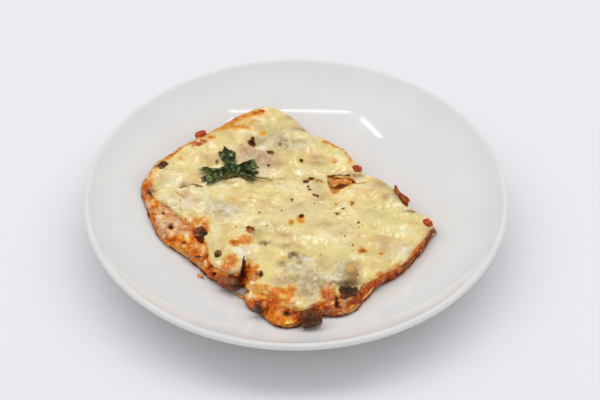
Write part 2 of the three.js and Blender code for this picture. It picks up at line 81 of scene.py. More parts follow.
# Along and across the slice, spread, height.
TOP_LOBES = [
    (-18, -12, 20, 1.3), (12, 4, 18, 0.8), (30, 36, 14, 0.9), (-48, 26, 16, 1.1), (59, -9, 8, 1.8),
    (-3, 52, 6, 1.1), (5, -42, 7, 1.3), (70, 55, 35, -2),
]
CREASE_PATH = [(-66, -50), (-54, -31), (-43, -6), (-21, 16), (0, 36), (8, 60)]
CREASE_DEPTH, CREASE_SPREAD, CREASE_END_DEPTH, CREASE_END_SPREAD, CREASE_SHARE = 2.2, 5.5, 1.4, 11, 0.7
WAVE_HEIGHT, WAVE_X, WAVE_Y, WAVE_PHASE_X, WAVE_PHASE_Y = 0.35, 9, 8, 1.3, -0.4
TEAR_PATH = [(-4.5, 40), (4, 47), (12, 49), (11, 41), (9.5, 31.5), (5.5, 32)]

# ---- camera ----
PICTURE_WIDTH, PICTURE_HEIGHT = 600, 400
LENS, SENSOR = 100, 36
CAMERA_AT = np.array([2.343, -724.642, 697.486])
CAMERA_DOWN = math.radians(42.89)
FOCAL_PIXELS = LENS / SENSOR * PICTURE_WIDTH
SIGHT_STEPS = 40  # rounds in which a line of sight closes in on a surface


# ---- repeatable noise ----
def lattice(cell, seed):
    """A number from -1 to 1 for each point of a whole-number grid."""
    x, y, z = (cell[..., axis].astype(np.uint32) for axis in range(3))
    mixed = x * np.uint32(374761393) ^ y * np.uint32(668265263) ^ z * np.uint32(2246822519)
    mixed ^= np.uint32(seed * 3266489917 & 0xFFFFFFFF)
    for shift, factor in ((15, 2246822519), (13, 3266489917), (16, 668265263)):
        mixed = (mixed ^ mixed >> np.uint32(shift)) * np.uint32(factor)
    return (mixed ^ mixed >> np.uint32(15)) / 2**31 - 1


FAR_OFF = 4096  # keeps the grid's whole numbers above 0


def noise(points, size, seed):
    """Smooth noise from -1 to 1, with lumps of about size millimetres."""
    scaled = points / size + FAR_OFF
    cell = np.floor(scaled).astype(np.int64)
    part = scaled - cell
    part = part * part * (3 - 2 * part)
    total = np.zeros(points.shape[:-1])
    for corner in np.ndindex(2, 2, 2):
        weight = np.prod(np.where(corner, part, 1 - part), axis=-1)
        total += weight * lattice(cell + corner, seed)
    return total


def layered(points, layers):
    return sum(height * noise(points, size, seed) for size, height, seed in layers)


def finer_and_finer(size, height, seed, count=2):
    """Layers that halve in size and height."""
    return [(size / 2**i, height / 2**i, seed + i) for i in range(count)]


def stirred(points, size, amount, seed):
    """The points, each moved sideways by noise."""
    return points + amount * np.stack([noise(points, size, seed + axis) for axis in range(3)], -1)


# How far grains lie from their cell's middle, and their radius, both as shares of a cell.
GRAIN_JITTER, GRAIN_RADIUS, GRAIN_RADIUS_SPREAD = 0.4, 0.62, 0.2


def grains(points, size, seed):
    """How high points lie on the nearest grain, from 0 to 1, and a number for that grain, from -1 to 1."""
    cell = np.floor(points / size + FAR_OFF).astype(np.int64)
    nearest = np.full(points.shape[:-1], np.inf)
    number = np.zeros(points.shape[:-1])
    for step in np.ndindex(3, 3, 3):
        at = cell + step - 1
        jitter = np.stack([lattice(at, seed + axis) for axis in range(3)], -1)
        centre = (at + 0.5 + GRAIN_JITTER * jitter - FAR_OFF) * size
        radius = size * (GRAIN_RADIUS + GRAIN_RADIUS_SPREAD * lattice(at, seed + 3))
        away = np.linalg.norm(points - centre, axis=-1) / radius
        closer = away < nearest
        nearest = np.where(closer, away, nearest)
        number = np.where(closer, lattice(at, seed + 4), number)
    return np.sqrt(np.clip(1 - nearest**2, 0, 1)), number


# ---- small mathematics ----
def bell(distance, spread):
    return np.exp(-0.5 * (distance / spread) ** 2)


def step_up(value, low, high):
    share = np.clip((value - low) / (high - low), 0, 1)
    return share * share * (3 - 2 * share)


def clipped(**masks):
    """Masks held between 0 and 1."""
    return {name: np.clip(values, 0, 1) for name, values in masks.items()}


def turn_between(a, b):
    return (a - b + 180) % 360 - 180


def sum_of_bumps(bumps, turn):
    return sum(height * bell(turn_between(turn, centre), spread) for centre, spread, height in bumps)


def flat(x, y):
    return np.stack([x, y, np.zeros_like(x)], -1)


def round_about(radius, degrees):
    return radius * np.cos(np.radians(degrees)), radius * np.sin(np.radians(degrees))


def nearest_on_path(x, y, path):
    """For each point: the nearest place on a path, how far away that is, and on which side the point lies."""
    nowhere = np.zeros(np.shape(x))
    best = [nowhere, nowhere, nowhere + np.inf, nowhere]
    for (ax, ay), (bx, by) in zip(path, path[1:]):
        dx, dy = bx - ax, by - ay
        share = np.clip(((x - ax) * dx + (y - ay) * dy) / (dx * dx + dy * dy), 0, 1)
        at_x, at_y = ax + share * dx, ay + share * dy
        away = np.hypot(x - at_x, y - at_y)
        side = np.sign(dx * (y - ay) - dy * (x - ax))
        closer = away < best[2]
        best = [np.where(closer, new, old) for new, old in zip((at_x, at_y, away, side), best)]
    return best


def distance_to_path(x, y, path):
    return nearest_on_path(x, y, path)[2]


def smoothed(path, times):
    """Cuts the corners of an open path, again and again."""
    path = np.array(path, float)
    for _ in range(times):
        near, far = 0.75 * path[:-1] + 0.25 * path[1:], 0.25 * path[:-1] + 0.75 * path[1:]
        path = np.concatenate([path[:1], np.stack([near, far], 1).reshape(-1, path.shape[1]), path[-1:]])
    return path


# ---- the slice's outlines and heights, as in the solids ----
def foot_radius(turn):
    along, across = round_about(1, turn)
    powers = np.abs(along / HALF_LENGTH) ** SQUARENESS + np.abs(across / HALF_WIDTH) ** SQUARENESS
    return powers ** (-1 / SQUARENESS) + sum_of_bumps(FOOT_BUMPS, turn)


def cheese_radius(turn):
    return foot_radius(turn) - CHEESE_INSET - sum_of_bumps(INSET_BUMPS, turn)


def inner_radius(turn):
    return cheese_radius(turn) - CHEESE_OVERHANG


def turned_about(x, y, degrees):
    cosine, sine = math.cos(math.radians(degrees)), math.sin(math.radians(degrees))
    return x * cosine - y * sine, x * sine + y * cosine


def in_slice(along, across):
    """A place given along and across the slice, in the plate's plan."""
    x, y = turned_about(along, across, SLICE_TURN)
    return SLICE_X + x, SLICE_Y + y


def slice_axes(x, y):
    return turned_about(x - SLICE_X, y - SLICE_Y, -SLICE_TURN)


def slice_point(turn, radius):
    return in_slice(*round_about(radius, turn))


def slice_polar(x, y):
    along, across = slice_axes(x, y)
    return np.degrees(np.arctan2(across, along)), np.hypot(along, across)


def well_height(radius):
    return FLOOR_TOP + WELL_RISE * (np.minimum(radius, WELL_RADIUS) / WELL_RADIUS) ** WELL_CURVE


def well_under(x, y):
    return well_height(np.hypot(x, y))


def crease_sink(along, across):
    sink = CREASE_DEPTH * bell(distance_to_path(along, across, CREASE_PATH), CREASE_SPREAD)
    for end_along, end_across in (CREASE_PATH[0], CREASE_PATH[-1]):
        away = np.hypot(along - end_along, across - end_across)
        sink = sink + CREASE_END_DEPTH * bell(away, CREASE_END_SPREAD)
    return sink


def top_height(x, y):
    along, across = slice_axes(x, y)
    level = TOP_HEIGHT + TOP_FOLLOW * (well_under(x, y) - FLOOR_TOP)
    lobes = sum(height * bell(np.hypot(along - a, across - b), spread) for a, b, spread, height in TOP_LOBES)
    return level + lobes - crease_sink(along, across)


def cheese_floor(x, y):
    return top_height(x, y) - CHEESE_THICKNESS + (1 - CREASE_SHARE) * crease_sink(*slice_axes(x, y))


def sauce_floor(x, y):
    return well_under(x, y) + GAP


def lower_pasta_floor(x, y):
    wave = WAVE_HEIGHT * np.sin(x / WAVE_X + WAVE_PHASE_X) * np.sin(y / WAVE_Y + WAVE_PHASE_Y)
    return sauce_floor(x, y) + SAUCE_THICKNESS + wave + GAP


def filling_floor(x, y):
    return lower_pasta_floor(x, y) + PASTA_THICKNESS + GAP


def upper_pasta_floor(x, y):
    return cheese_floor(x, y) - GAP - PASTA_THICKNESS


# ---- places in the picture ----
def photo_point(px, py, height_of):
    """Where the line of sight through a pixel meets a surface, in plan."""
    right = (px - PICTURE_WIDTH / 2) / FOCAL_PIXELS
    up = (PICTURE_HEIGHT / 2 - py) / FOCAL_PIXELS
    forward = math.cos(CAMERA_DOWN) + up * math.sin(CAMERA_DOWN)
    down = math.sin(CAMERA_DOWN) - up * math.cos(CAMERA_DOWN)
    height = TOP_HEIGHT
    for _ in range(SIGHT_STEPS):
        reach = (CAMERA_AT[2] - height) / down
        x, y = CAMERA_AT[0] + reach * right, CAMERA_AT[1] + reach * forward
        height = (height + height_of(x, y)) / 2
    return x, y


RAGGED_X, RAGGED_Y = finer_and_finer(4, 1, 71, 3), finer_and_finer(4, 0.7, 74, 3)


def picture_of(points, ragged=0.0):
    """The pixels at which points show, moved a little by noise so that what is painted there is ragged."""
    away = points - CAMERA_AT
    sine, cosine = math.sin(CAMERA_DOWN), math.cos(CAMERA_DOWN)
    depth = away[..., 1] * cosine - away[..., 2] * sine
    px = PICTURE_WIDTH / 2 + FOCAL_PIXELS * away[..., 0] / depth
    py = PICTURE_HEIGHT / 2 - FOCAL_PIXELS * (away[..., 1] * sine + away[..., 2] * cosine) / depth
    if ragged:
        px += ragged * layered(points, RAGGED_X)
        py += ragged * layered(points, RAGGED_Y)
    return px, py


SPOT_SHARPNESS, STROKE_SHARPNESS = 1.25, 3
FADED_OUT = 60  # halvings after which nothing is left


def spot(px, py, centre_x, centre_y, half_width, half_height):
    """1 at the spot's middle, a half at its half sizes, and 0 well outside it."""
    away = ((px - centre_x) / half_width) ** 2 + ((py - centre_y) / half_height) ** 2
    return 0.5 ** np.minimum(away**SPOT_SHARPNESS, FADED_OUT)


def stroke(px, py, path, half_width):
    away = distance_to_path(px, py, path) / half_width
    return 0.5 ** np.minimum(away**STROKE_SHARPNESS, FADED_OUT)


def strongest(shape, px, py, marks):
    """The strongest of several spots or strokes: the shape's numbers, then its strength."""
    return np.max([strength * shape(px, py, *place) for *place, strength in marks.values()], axis=0)


# ---- what shows on the cheese, for each mask: pixel x, y, half width, half height, strength ----
SPOTS = {
    "baked": {  # yellow to orange, where the cheese has browned, with painted shade on the bubble's lower left at bubble's left
        "bubble": (243, 239.5, 10, 6, 0.66), "bubble's left": (235, 242.5, 6, 3.5, 0.8),
        "left of the cleft": (231, 260.5, 7.5, 6.5, 0.8), "right of the cleft": (252, 270, 7, 9, 0.7),
        "corner, left": (262, 287, 9, 5, 0.6), "corner, middle": (279, 295, 12, 6, 1.0),
        "corner, right": (321, 304, 6, 4, 0.9), "corner, top": (291, 290, 5, 5, 0.8),
        "at the notch": (196, 221.5, 11, 4.5, 0.72), "notch's lip": (204, 230, 4, 4, 0.9),
        "notch's right": (206, 226, 4, 7, 0.75), "left corner": (147, 185, 5, 6, 1.0),
        "behind the tear": (335, 161.5, 4, 3, 0.75), "back spot": (263.5, 132.6, 4.5, 3, 0.55),
        "freckles": (338, 208, 9, 8, 0.3), "right edge": (413, 225, 6, 3.5, 0.4),
        "right spot": (362.5, 250.2, 5, 3.2, 0.62), "right spot, small": (381.5, 253, 4, 3, 0.55),
        "pepper's smear": (211, 137.5, 7, 2.5, 0.7), "left freckle": (181, 158.5, 3, 2, 0.5),
        "left freckle, right": (184.5, 160, 2.5, 2, 0.45),
        "below the dark speck": (300.5, 219.5, 4, 4, 0.7), "orange speck": (290.5, 222.7, 3.5, 3, 0.7),
        "right notch": (350.5, 157, 3, 6, 0.85), "bead's side": (228, 255, 4, 3, 0.5),
        "double dots": (352, 203.5, 4.5, 4.5, 0.4), "notch's end": (376, 247, 9, 7, 0.28),
        "right, front": (400, 245, 8, 4, 0.25), "front lump": (284, 258, 4, 3, 0.35),
        "mushroom": (351, 267.5, 4, 4, 0.45), "left cheek": (242, 198, 14, 4, 0.3),
        "back left": (240, 127, 14, 4, 0.5), "below the tear": (337, 187, 4, 4, 0.5),
        "far right": (412, 224, 5, 3, 0.4), "left edge": (160, 203, 10, 3, 0.3),
    },
    "brown": {  # dark browned spots
        "great blister": (252.4, 143.5, 3.6, 3.2, 1.0), "great blister, top": (252.4, 139, 2.6, 3, 0.8),
        "great blister, left": (249, 142, 2, 1.4, 0.5), "smudge": (279.5, 144, 2, 3, 0.6),
        "smudge, left": (275, 141.5, 2.2, 1.4, 0.35), "smudge, right": (284, 141.5, 2.4, 1.2, 0.35),
        "red blister": (270.4, 152.4, 4.2, 1.8, 0.75), "by the parsley": (217.3, 162, 2.6, 2.2, 0.6),
        "bubble's top": (247.5, 228, 1.8, 1.6, 0.7), "bubble's top, right": (252.6, 228.6, 2.2, 2, 0.75),
        "double, right": (311, 179, 3.2, 2.4, 0.8), "double, left": (306.5, 181.7, 2.6, 2.2, 0.75),
        "under the double": (308.5, 186.7, 2, 1.5, 0.7), "under it": (310.6, 189.8, 1.8, 1.4, 0.75),
        "pair, left": (314.3, 195.2, 2.4, 1.8, 0.65), "pair, right": (317.9, 196, 2.2, 1.6, 0.65),
        "round one": (301.9, 161.1, 2.6, 2.1, 0.85), "dark one": (300.8, 216.3, 2.8, 2, 0.9),
        "right spot": (362.6, 251, 2.6, 1.6, 0.52), "right spot, small": (381, 253.5, 2.4, 1.6, 0.5),
        "dark oval": (260.5, 274.2, 3, 3.4, 0.85), "mushroom's foot": (351, 285.5, 5, 3, 0.45),
        "freckles, upper": (335.5, 203.5, 2.6, 1.3, 0.6), "freckles, right": (343, 208, 2.2, 1.3, 0.7),
        "freckles, lower": (336.5, 213, 3.2, 1.3, 0.7), "double dots": (351.8, 203.4, 1.6, 2.6, 0.6),
        "right dots": (359.4, 222, 1.9, 2, 0.65), "dots, left": (291.6, 199.8, 1.8, 1.5, 0.65),
        "bubble, foot": (290.6, 222.6, 2, 1.4, 0.5), "dots, right": (375.4, 206.5, 1.4, 1, 0.4),
        "black speck": (268.4, 164.7, 2.4, 1, 1.0), "black dash": (352.8, 244.8, 1, 1.8, 0.8),
        "notch": (358, 168.5, 3, 1.2, 0.6), "behind the tear": (335.2, 161.7, 1.4, 1.1, 0.5),
        "left edge, low": (155, 169, 3, 2, 0.4),
    },
    "pink": {  # meat just under the skin
        "back": (264, 160, 15, 7, 0.8), "back, left": (247, 151, 9, 6, 1.1),
        "middle back": (315, 163, 9, 2.6, 1.0), "middle back, upper": (316, 157, 7, 1.8, 0.8),
        "middle": (286, 234, 8, 4, 0.5), "right": (384, 243, 7, 8, 0.7),
        "right notch": (386, 197, 4, 3.5, 0.9), "far right": (431, 235, 5, 5, 0.8),
        "crack": (184, 184, 7, 3, 0.7), "left lobe": (238, 202, 14, 4, 0.45),
        "left flap": (186, 196, 4, 5, 0.9), "corner": (281, 281, 7, 5, 0.8),
        "left end": (166, 176, 8, 4, 0.5), "parsley": (207, 158, 13, 8, 0.35),
        "back edge": (256, 119.5, 5, 3.5, 0.7), "back right edge": (300, 126, 10, 4, 0.5),
        "right side": (403, 246, 7, 4, 0.5), "right of the tear": (378, 186, 10, 5, 0.55),
        "above the front": (296, 246, 8, 3, 0.4), "left cheek": (196, 200, 6, 4, 0.5),
    },
    "grey": {  # thin, dull skin
        "back": (300, 142, 12, 3.5, 0.8), "back, all": (272, 138, 26, 12, 0.6),
        "back, low": (295, 148, 12, 4, 0.6), "back, middle": (252, 157, 8, 5, 0.5),
        "right edge": (396, 194, 4.5, 7, 1.0), "mushroom": (343, 276, 8, 8, 0.5),
        "mushroom, right": (358, 274, 4, 8, 0.5), "centre": (300, 206, 8, 5, 0.6),
        "tear": (316, 189, 7, 6, 0.5), "front": (308, 281, 15, 13, 0.8),
        "front, up": (296, 268, 14, 7, 0.5), "back right edge": (413, 211.5, 9, 1.6, 0.9),
        "edge by the flake": (392, 184, 7, 5, 0.7), "left lobe": (222, 210, 16, 8, 0.5),
        "middle": (374, 214, 12, 6, 0.35), "below": (344, 230, 14, 5, 0.35),
        "pepper flake": (402, 200, 3.5, 6, 0.8), "by the stem": (270, 166, 8, 4, 0.5),
        "front, right": (322, 268, 6, 12, 0.4), "back left edge": (288, 116, 6, 2, 0.5),
        "middle left": (272, 226, 10, 4, 0.4), "olive": (265, 243, 3.5, 2, 0.7),
    },
    "tan": {  # brown see-through, where something dark lies just under the cheese
        "mushroom": (351, 270, 6.5, 8, 1.3), "mushroom, left": (342, 272, 6, 8, 0.6),
        "mushroom, low": (352, 280, 6, 5, 1.0), "dark lump": (295, 255.5, 5.5, 3.6, 0.9),
        "olive speck": (264, 243, 5, 1.8, 1.0), "tan lump": (284, 246, 6, 2.5, 0.6),
        "front, right": (325, 284, 7, 5, 0.5), "back lump": (279, 142, 6, 4.5, 0.5),
        "front, low": (303, 293, 8, 3, 0.4), "dark lump, right": (301, 257.5, 6, 3, 1.0),
        "front": (281, 264, 4, 2.5, 0.8), "corner": (290, 281, 6, 4, 0.5),
        "flap by the tear": (354, 176.5, 8, 3.5, 1.1), "right of the tear": (384, 182, 10, 5, 0.4),
        "back right": (292, 118, 8, 2, 0.5), "back strand": (301, 129.5, 9, 1.6, 0.8),
        "bubble": (256, 233, 8, 6, 0.5), "middle": (283, 235, 6, 2, 0.6),
        "middle, right": (325, 226, 6, 4, 0.4), "above": (321, 197, 6, 5, 0.35),
        "cleft": (250, 262, 5, 5, 0.5),
    },
    "pale": {  # thick, milky places, and a painted highlight at dark lump's shine
        "flap": (167, 200, 10, 5, 0.5), "front": (300, 268, 16, 8, 0.3),
        "front, low": (312, 293, 7, 7, 0.3), "cleft": (243, 252, 7, 9, 0.6), "right": (396, 252, 9, 6, 0.5),
        "back": (250, 158, 9, 6, 0.6), "middle, all": (300, 215, 34, 14, 0.3),
        "back, low": (300, 172, 7, 3, 0.6), "middle": (340, 240, 12, 6, 0.35),
        "by the notch": (216, 232, 4, 13, 0.6), "above the bead": (236, 216, 12, 5, 0.5),
        "left end": (170, 183, 9, 5, 0.4), "lobe, right": (234, 206, 8, 4, 0.4),
        "dark lump's shine": (305, 259, 6, 3, 0.7), "middle left": (283, 188, 10, 3, 0.5),
    },
    "olive": {  # greenish tinge
        "right": (392, 218, 26, 16, 0.8), "middle": (342, 252, 24, 10, 0.7), "back": (300, 132, 26, 8, 0.6),
        "back right": (336, 152, 10, 6, 0.7), "tear": (322, 172, 12, 8, 0.6),
        "middle, left": (262, 218, 16, 9, 0.5), "front left": (216, 192, 22, 5, 0.5),
        "left": (182, 166, 16, 9, 0.5), "centre": (332, 218, 14, 8, 0.6), "front": (272, 254, 10, 7, 0.6),
        "above the corner": (322, 286, 5, 9, 0.6), "left end": (165, 185, 8, 7, 0.6),
    },
    "white": {  # painted highlights, as wet glints
        "mushroom's shine": (340.5, 274, 2, 4, 0.6), "wrinkle": (331.5, 280, 5, 1.8, 0.7),
        "bubble's glint": (247.5, 236, 1.6, 2, 0.6), "bubble's glint, low": (244, 240, 1.4, 1.4, 0.4),
        "left flap": (177, 207.5, 6, 2, 0.5), "right": (377, 246, 3, 3, 0.7),
        "right, low": (405.5, 250, 3, 2.4, 0.7), "left lobe": (186, 203, 4, 5, 0.6),
        "lobe's streak": (212, 208, 4, 2, 0.6), "lobe's bow": (230, 211, 6, 2.4, 0.6),
        "cleft": (241, 250, 4, 5, 0.6), "dark lump": (305, 259, 5, 2, 0.7), "back": (262, 148, 6, 3, 0.5),
    },
    "bare": {  # where the filling lies bare or shows through
        "corner": (277, 298, 19, 9, 0.9), "corner, left": (254, 292, 9, 9, 1.0),
        "right": (328, 295, 8, 11, 1.0), "right, low": (318, 305, 7, 3.5, 1.0),
        "by the cleft": (252, 274, 7, 8, 1.0), "left of the cleft": (222, 268, 9, 6, 0.8),
        "left corner": (148.5, 190, 4, 7, 1.0), "notch": (206, 230, 3, 3, 0.8),
        "left edge": (150, 204, 5, 8, 1.0), "mushroom": (348, 288.5, 8, 4.5, 1.0),
        "right edge": (431, 236, 3, 7, 1.0),
    },
    "red": {  # pepper and sauce
        "bubble's eye": (250, 229.5, 4.4, 2.6, 1.0), "pepper": (197, 144, 6.5, 2.2, 0.8),
        "pepper, right": (204, 141, 5, 1.8, 0.6), "pepper, left": (192.5, 146, 3, 1.4, 0.5),
        "crack, left": (187, 186.3, 3.5, 1.1, 0.55), "crack, right": (199, 186.6, 3.5, 1, 0.55),
        "back edge": (262, 110.6, 2.6, 1.2, 0.8), "back edge, left": (256.5, 113, 3, 1.2, 0.7),
        "middle back": (319, 161.5, 3, 1.2, 0.5), "parsley's tip": (203, 178, 3, 2, 0.8),
        "notch": (357, 170, 3, 1, 0.5),
    },
    "dark": {  # near black under a thin skin, and painted shade in the cleft at right of the cleft
        "lump": (293, 253.6, 4.6, 2, 1.1), "lump, left": (289.8, 256, 2, 2.4, 0.9),
        "mushroom": (348, 284, 10, 3.4, 1.0), "mushroom, left": (334, 281.5, 4, 1.2, 0.6),
        "left corner": (150.8, 190.5, 3, 4.2, 1.0), "left edge": (160, 164, 5, 2.6, 1.0),
        "right edge": (399, 197, 2.4, 6, 0.5), "back right edge": (413, 211.5, 9, 1.2, 0.6),
        "right of the cleft": (247, 264, 2, 6, 0.4), "notch": (201, 229, 6, 2, 0.6),
        "by the front": (322, 287, 3, 2, 0.5), "back": (286, 145, 2.4, 1.4, 0.4),
        "right tip": (431, 232, 2, 3, 0.4), "back blister": (259, 140.5, 7, 3, 0.35),
        "back, right": (284, 147, 6, 2.4, 0.3), "back, middle": (267, 153.6, 6, 2.2, 0.4),
        "by the stem": (277, 163, 4.5, 1.6, 0.3), "front, middle": (314, 282, 4, 1.6, 0.4),
        "front, up": (300, 262.5, 3, 1.4, 0.5), "front, right": (326, 291, 2.6, 4, 0.4),
        "front, left": (283, 262, 3, 1.5, 0.4), "bubble's edge": (253.6, 233, 1.4, 4, 0.5),
    },
    "wrinkled": {  # where the skin is wrinkled, with painted highlights on its crests and painted shade in its hollows
        "front": (305, 275, 17, 15, 1.0), "front, low": (312, 292, 9, 8, 0.9),
        "front, left": (284, 264, 9, 6, 0.7), "mushroom": (341, 273, 6, 9, 0.9),
        "left lobe": (212, 207, 17, 7, 0.8), "left lobe, end": (231, 212, 9, 5, 0.8),
        "back": (258, 158, 15, 7, 0.9), "back, right": (284, 145, 13, 7, 0.6),
        "bubble": (249, 237, 4, 5, 0.6), "right": (404, 248, 9, 7, 0.7),
        "right, middle": (379, 246, 8, 7, 0.5), "left of the cleft": (226, 258, 9, 12, 0.5),
        "cleft": (246, 252, 6, 7, 0.5), "flap": (168, 200, 9, 5, 0.4), "red crack": (190, 186, 11, 5, 0.6),
        "corner": (282, 281, 11, 5, 0.6), "double": (309, 180, 9, 5, 0.5), "stem": (283, 178, 14, 5, 0.5),
        "middle back": (315, 162, 10, 4, 0.6), "middle": (285, 246, 8, 4, 0.7),
        "centre": (300, 210, 12, 6, 0.4),
    },
}
STROKES = {  # for each mask: pixels along the stroke, half width, strength
    "baked": {
        "back left, end": ([(200, 136), (207, 131.5), (214, 127.5), (222, 124.5)], 3.5, 0.7),
        "back left, inner": ([(214, 128), (228, 127), (246, 126.5)], 3, 0.55),
        "back left, outer": ([(226, 124), (236, 119), (246, 114.5), (258, 112)], 4, 0.65),
        "back left, arm": ([(250, 124), (253, 117), (262, 113)], 2.4, 0.5),
        "left edge": ([(166, 158), (176, 150.5), (186, 144), (196, 139)], 2.4, 0.8),
        "left edge, low": ([(150, 178), (157, 168), (166, 159)], 1.6, 0.45),
        "back right": ([(325, 141), (334, 145.5), (343, 150), (350, 157)], 1.6, 0.7),
        "front right": ([(368, 283), (380, 276), (392, 269.5), (402, 261)], 1.4, 0.45),
        "under the tear": ([(329.5, 186), (333, 192), (339, 191)], 1.4, 0.7),
    },
    "brown": {
        # Painted shade: tear's rim and flap's edge under the overhanging cheese, bubble's foot on the
        # bubble's lower side, mushroom's line in a wrinkle, and the cleft's two strokes in the cleft.
        "tear's rim": ([(329, 176.5), (340, 174.6), (349, 176)], 1.0, 0.75),
        "mushroom's line": ([(327, 279), (333, 282), (338, 284)], 0.7, 0.5),
        "flap's edge": ([(352, 181.8), (358, 182.8), (365, 181.8)], 0.7, 0.45),
        "bubble's foot": ([(231, 239), (234, 244.5), (242, 248)], 1.6, 0.38),
        "bubble's eye": ([(246, 228.5), (250.5, 227.2), (254, 229.5)], 1.5, 0.6),
        "cleft's tip": ([(244.5, 256), (244, 262)], 0.8, 0.9),
        "cleft's edge": ([(244, 262), (242.5, 270), (240, 280)], 2.0, 1.0),
    },
}
CRACKS = {  # pixels along each crack, half width, depth in millimetres; each crack is also painted dark along its line as shade
    "flap": ([(173.5, 190.4), (178, 193), (183.4, 196.5)], 0.7, 0.8),
    "left lobe's edge": ([(179.5, 199), (180, 206), (182, 213), (184.5, 219), (187, 227)], 0.7, 0.9),
    "red crack": ([(181, 187.5), (186, 186.2), (191, 184.8), (196, 185), (202, 187.4)], 0.9, 1.0),
    "flap's lower edge": ([(157, 201.5), (162, 205.5), (168, 206.8), (174, 205.5), (178, 203)], 0.8, 0.8),
    "stem end": ([(262, 180.5), (276, 184), (288, 185)], 1.0, 0.35),
    "back strand": ([(294, 128), (302, 129.8), (309, 130.4)], 0.8, 0.5),
    "below the tear": ([(352, 181.8), (358, 183), (365, 182)], 0.8, 0.9),
    "front wrinkle": ([(327, 279), (333, 282), (338, 284)], 0.7, 0.5),
    "front fold": ([(322, 296), (328, 287), (333, 283)], 1.2, 0.5),
}
BUMPS = {  # pixel x, y, half width, half height, millimetres up
    "bubble": (244, 237, 11, 7, 1.5), "mushroom": (343, 272, 10, 10, 1.3),
    "dark lump": (297, 254, 8, 4, 0.8), "front lump": (284, 268, 9, 8, 0.9),
    "front, right": (317, 264, 7, 9, 0.7), "left lobe": (228, 209, 13, 6, 0.8),
    "beside the bead": (232, 248, 7, 6, 0.8), "right lump": (403, 230, 10, 6, 0.6),
    "corner": (280, 294, 11, 6, 1.0), "corner, right": (308, 298, 8, 9, 0.9),
    "corner, left": (258, 291, 7, 5, 0.8), "left cheek": (205, 205, 9, 8, 0.7),
    "behind the tear": (333, 158, 9, 5, 0.5), "flap by the tear": (355, 176.5, 8, 3, 1.1),
    "left end": (163, 193, 9, 7, 0.8), "great blister": (252, 142, 4, 4, 0.7),
    "red blister": (270, 152, 4.5, 2.2, 0.5), "round one": (302, 161, 2.6, 2, 0.5),
    "double": (309, 180, 4.5, 2.6, 0.6), "dark one": (301, 216.5, 3, 2.2, 0.5),
    "right": (382, 245, 7, 7, 0.5), "corner lump, left": (257, 286, 4, 3, 1.0),
    "corner lump, second": (268, 292, 4.5, 3, 1.0), "corner lump, third": (280, 300, 4.5, 3, 1.0),
    "corner lump, fourth": (290, 293, 4, 3, 0.9), "corner lump, fifth": (297, 302, 4, 3, 0.8),
    "right lump, low": (322, 300, 3, 3, 0.9), "right lump, high": (330, 290, 3, 4, 0.9),
    "cleft lump": (250, 279, 3, 4, 0.8), "orange lump": (228, 258, 4, 4, 0.7),
    "orange lump, right": (236, 264, 3.5, 3.5, 0.7),
}
DIPS = {  # the same, millimetres down
    "back": (262, 158, 12, 5, 0.6), "middle back": (315, 160, 10, 4, 0.5), "middle": (272, 232, 9, 5, 0.6),
    "right": (372, 226, 10, 6, 0.5), "front": (330, 262, 5, 9, 0.5), "left": (219, 222, 6, 8, 0.5),
    "cleft": (246, 256, 3, 6, 1.0), "corner gap, left": (263, 288, 1.8, 3, 0.8),
    "corner gap": (274, 297, 1.8, 3, 0.9), "corner gap, right": (286, 298, 1.8, 3, 0.9),
    "right gap": (326, 295, 1.6, 4, 0.9), "orange gap": (232, 261, 1.6, 3, 0.6),
    "front gap": (300, 288, 2, 4, 0.6),
}

# Dark specks of pepper and browned crumbs: pixel x, y and radius in millimetres.
SPECKS = [
    (286.4, 142, 0.65), (268.4, 164.6, 0.75), (291.7, 199.6, 0.6), (281.5, 208.6, 0.55),
    (300.9, 216.3, 0.7), (310.6, 189.8, 0.7), (314.6, 195, 0.75), (317.9, 196, 0.65), (314.2, 202.4, 0.5),
    (351.9, 202, 0.55), (351.4, 204.4, 0.5), (359.6, 222.3, 0.55), (359, 227, 0.5), (351, 225, 0.35),
    (341.2, 232.6, 0.4), (344.8, 235.7, 0.5), (375.4, 206.5, 0.4), (382.6, 207.6, 0.35),
    (369.8, 208.6, 0.35), (359, 212.7, 0.4), (312.1, 236, 0.4), (323.9, 245.3, 0.35), (320.8, 253, 0.5),
    (353, 244.8, 0.6), (357.6, 273.4, 0.65), (341.7, 264.7, 0.45), (405.5, 231.5, 0.3), (416.7, 223.4, 0.3),
    (258.8, 212.8, 0.6), (267, 224.6, 0.45), (206, 203.8, 0.35), (211.5, 191.2, 0.3), (201.8, 191, 0.3),
    (203.4, 216.5, 0.3), (241.3, 145, 0.5), (258.8, 153.8, 0.5), (172.5, 170, 0.4), (308, 186.7, 0.55),
    (301.9, 161.1, 0.6), (253, 137, 0.5), (252.8, 145, 0.8), (311.4, 178.4, 0.5), (307, 182.4, 0.45),
    (335.3, 161.8, 0.45), (270.5, 152.4, 0.6), (279, 144.6, 0.6), (299, 269, 0.4), (296.5, 287, 0.35),
    (235.5, 254.5, 0.4), (216.5, 266.5, 0.4), (326, 218, 0.3), (387, 229, 0.3), (300, 184.5, 0.35),
    (295.5, 180, 0.4), (296.8, 187, 0.35), (331.5, 202.4, 0.35), (334.8, 204.6, 0.4), (338, 202.6, 0.3),
    (341, 206.6, 0.4), (345, 208.8, 0.35), (333, 211.6, 0.35), (336.6, 213.8, 0.45), (339.8, 212.4, 0.35),
    (329.6, 207.4, 0.3), (346.8, 212.6, 0.3), (343.6, 204.4, 0.3), (362.4, 224.6, 0.4),
    (356.6, 219.4, 0.35), (364.4, 220.2, 0.3), (352.6, 250.8, 0.45), (365.8, 248.6, 0.35),
    (359.6, 253.4, 0.35),
]
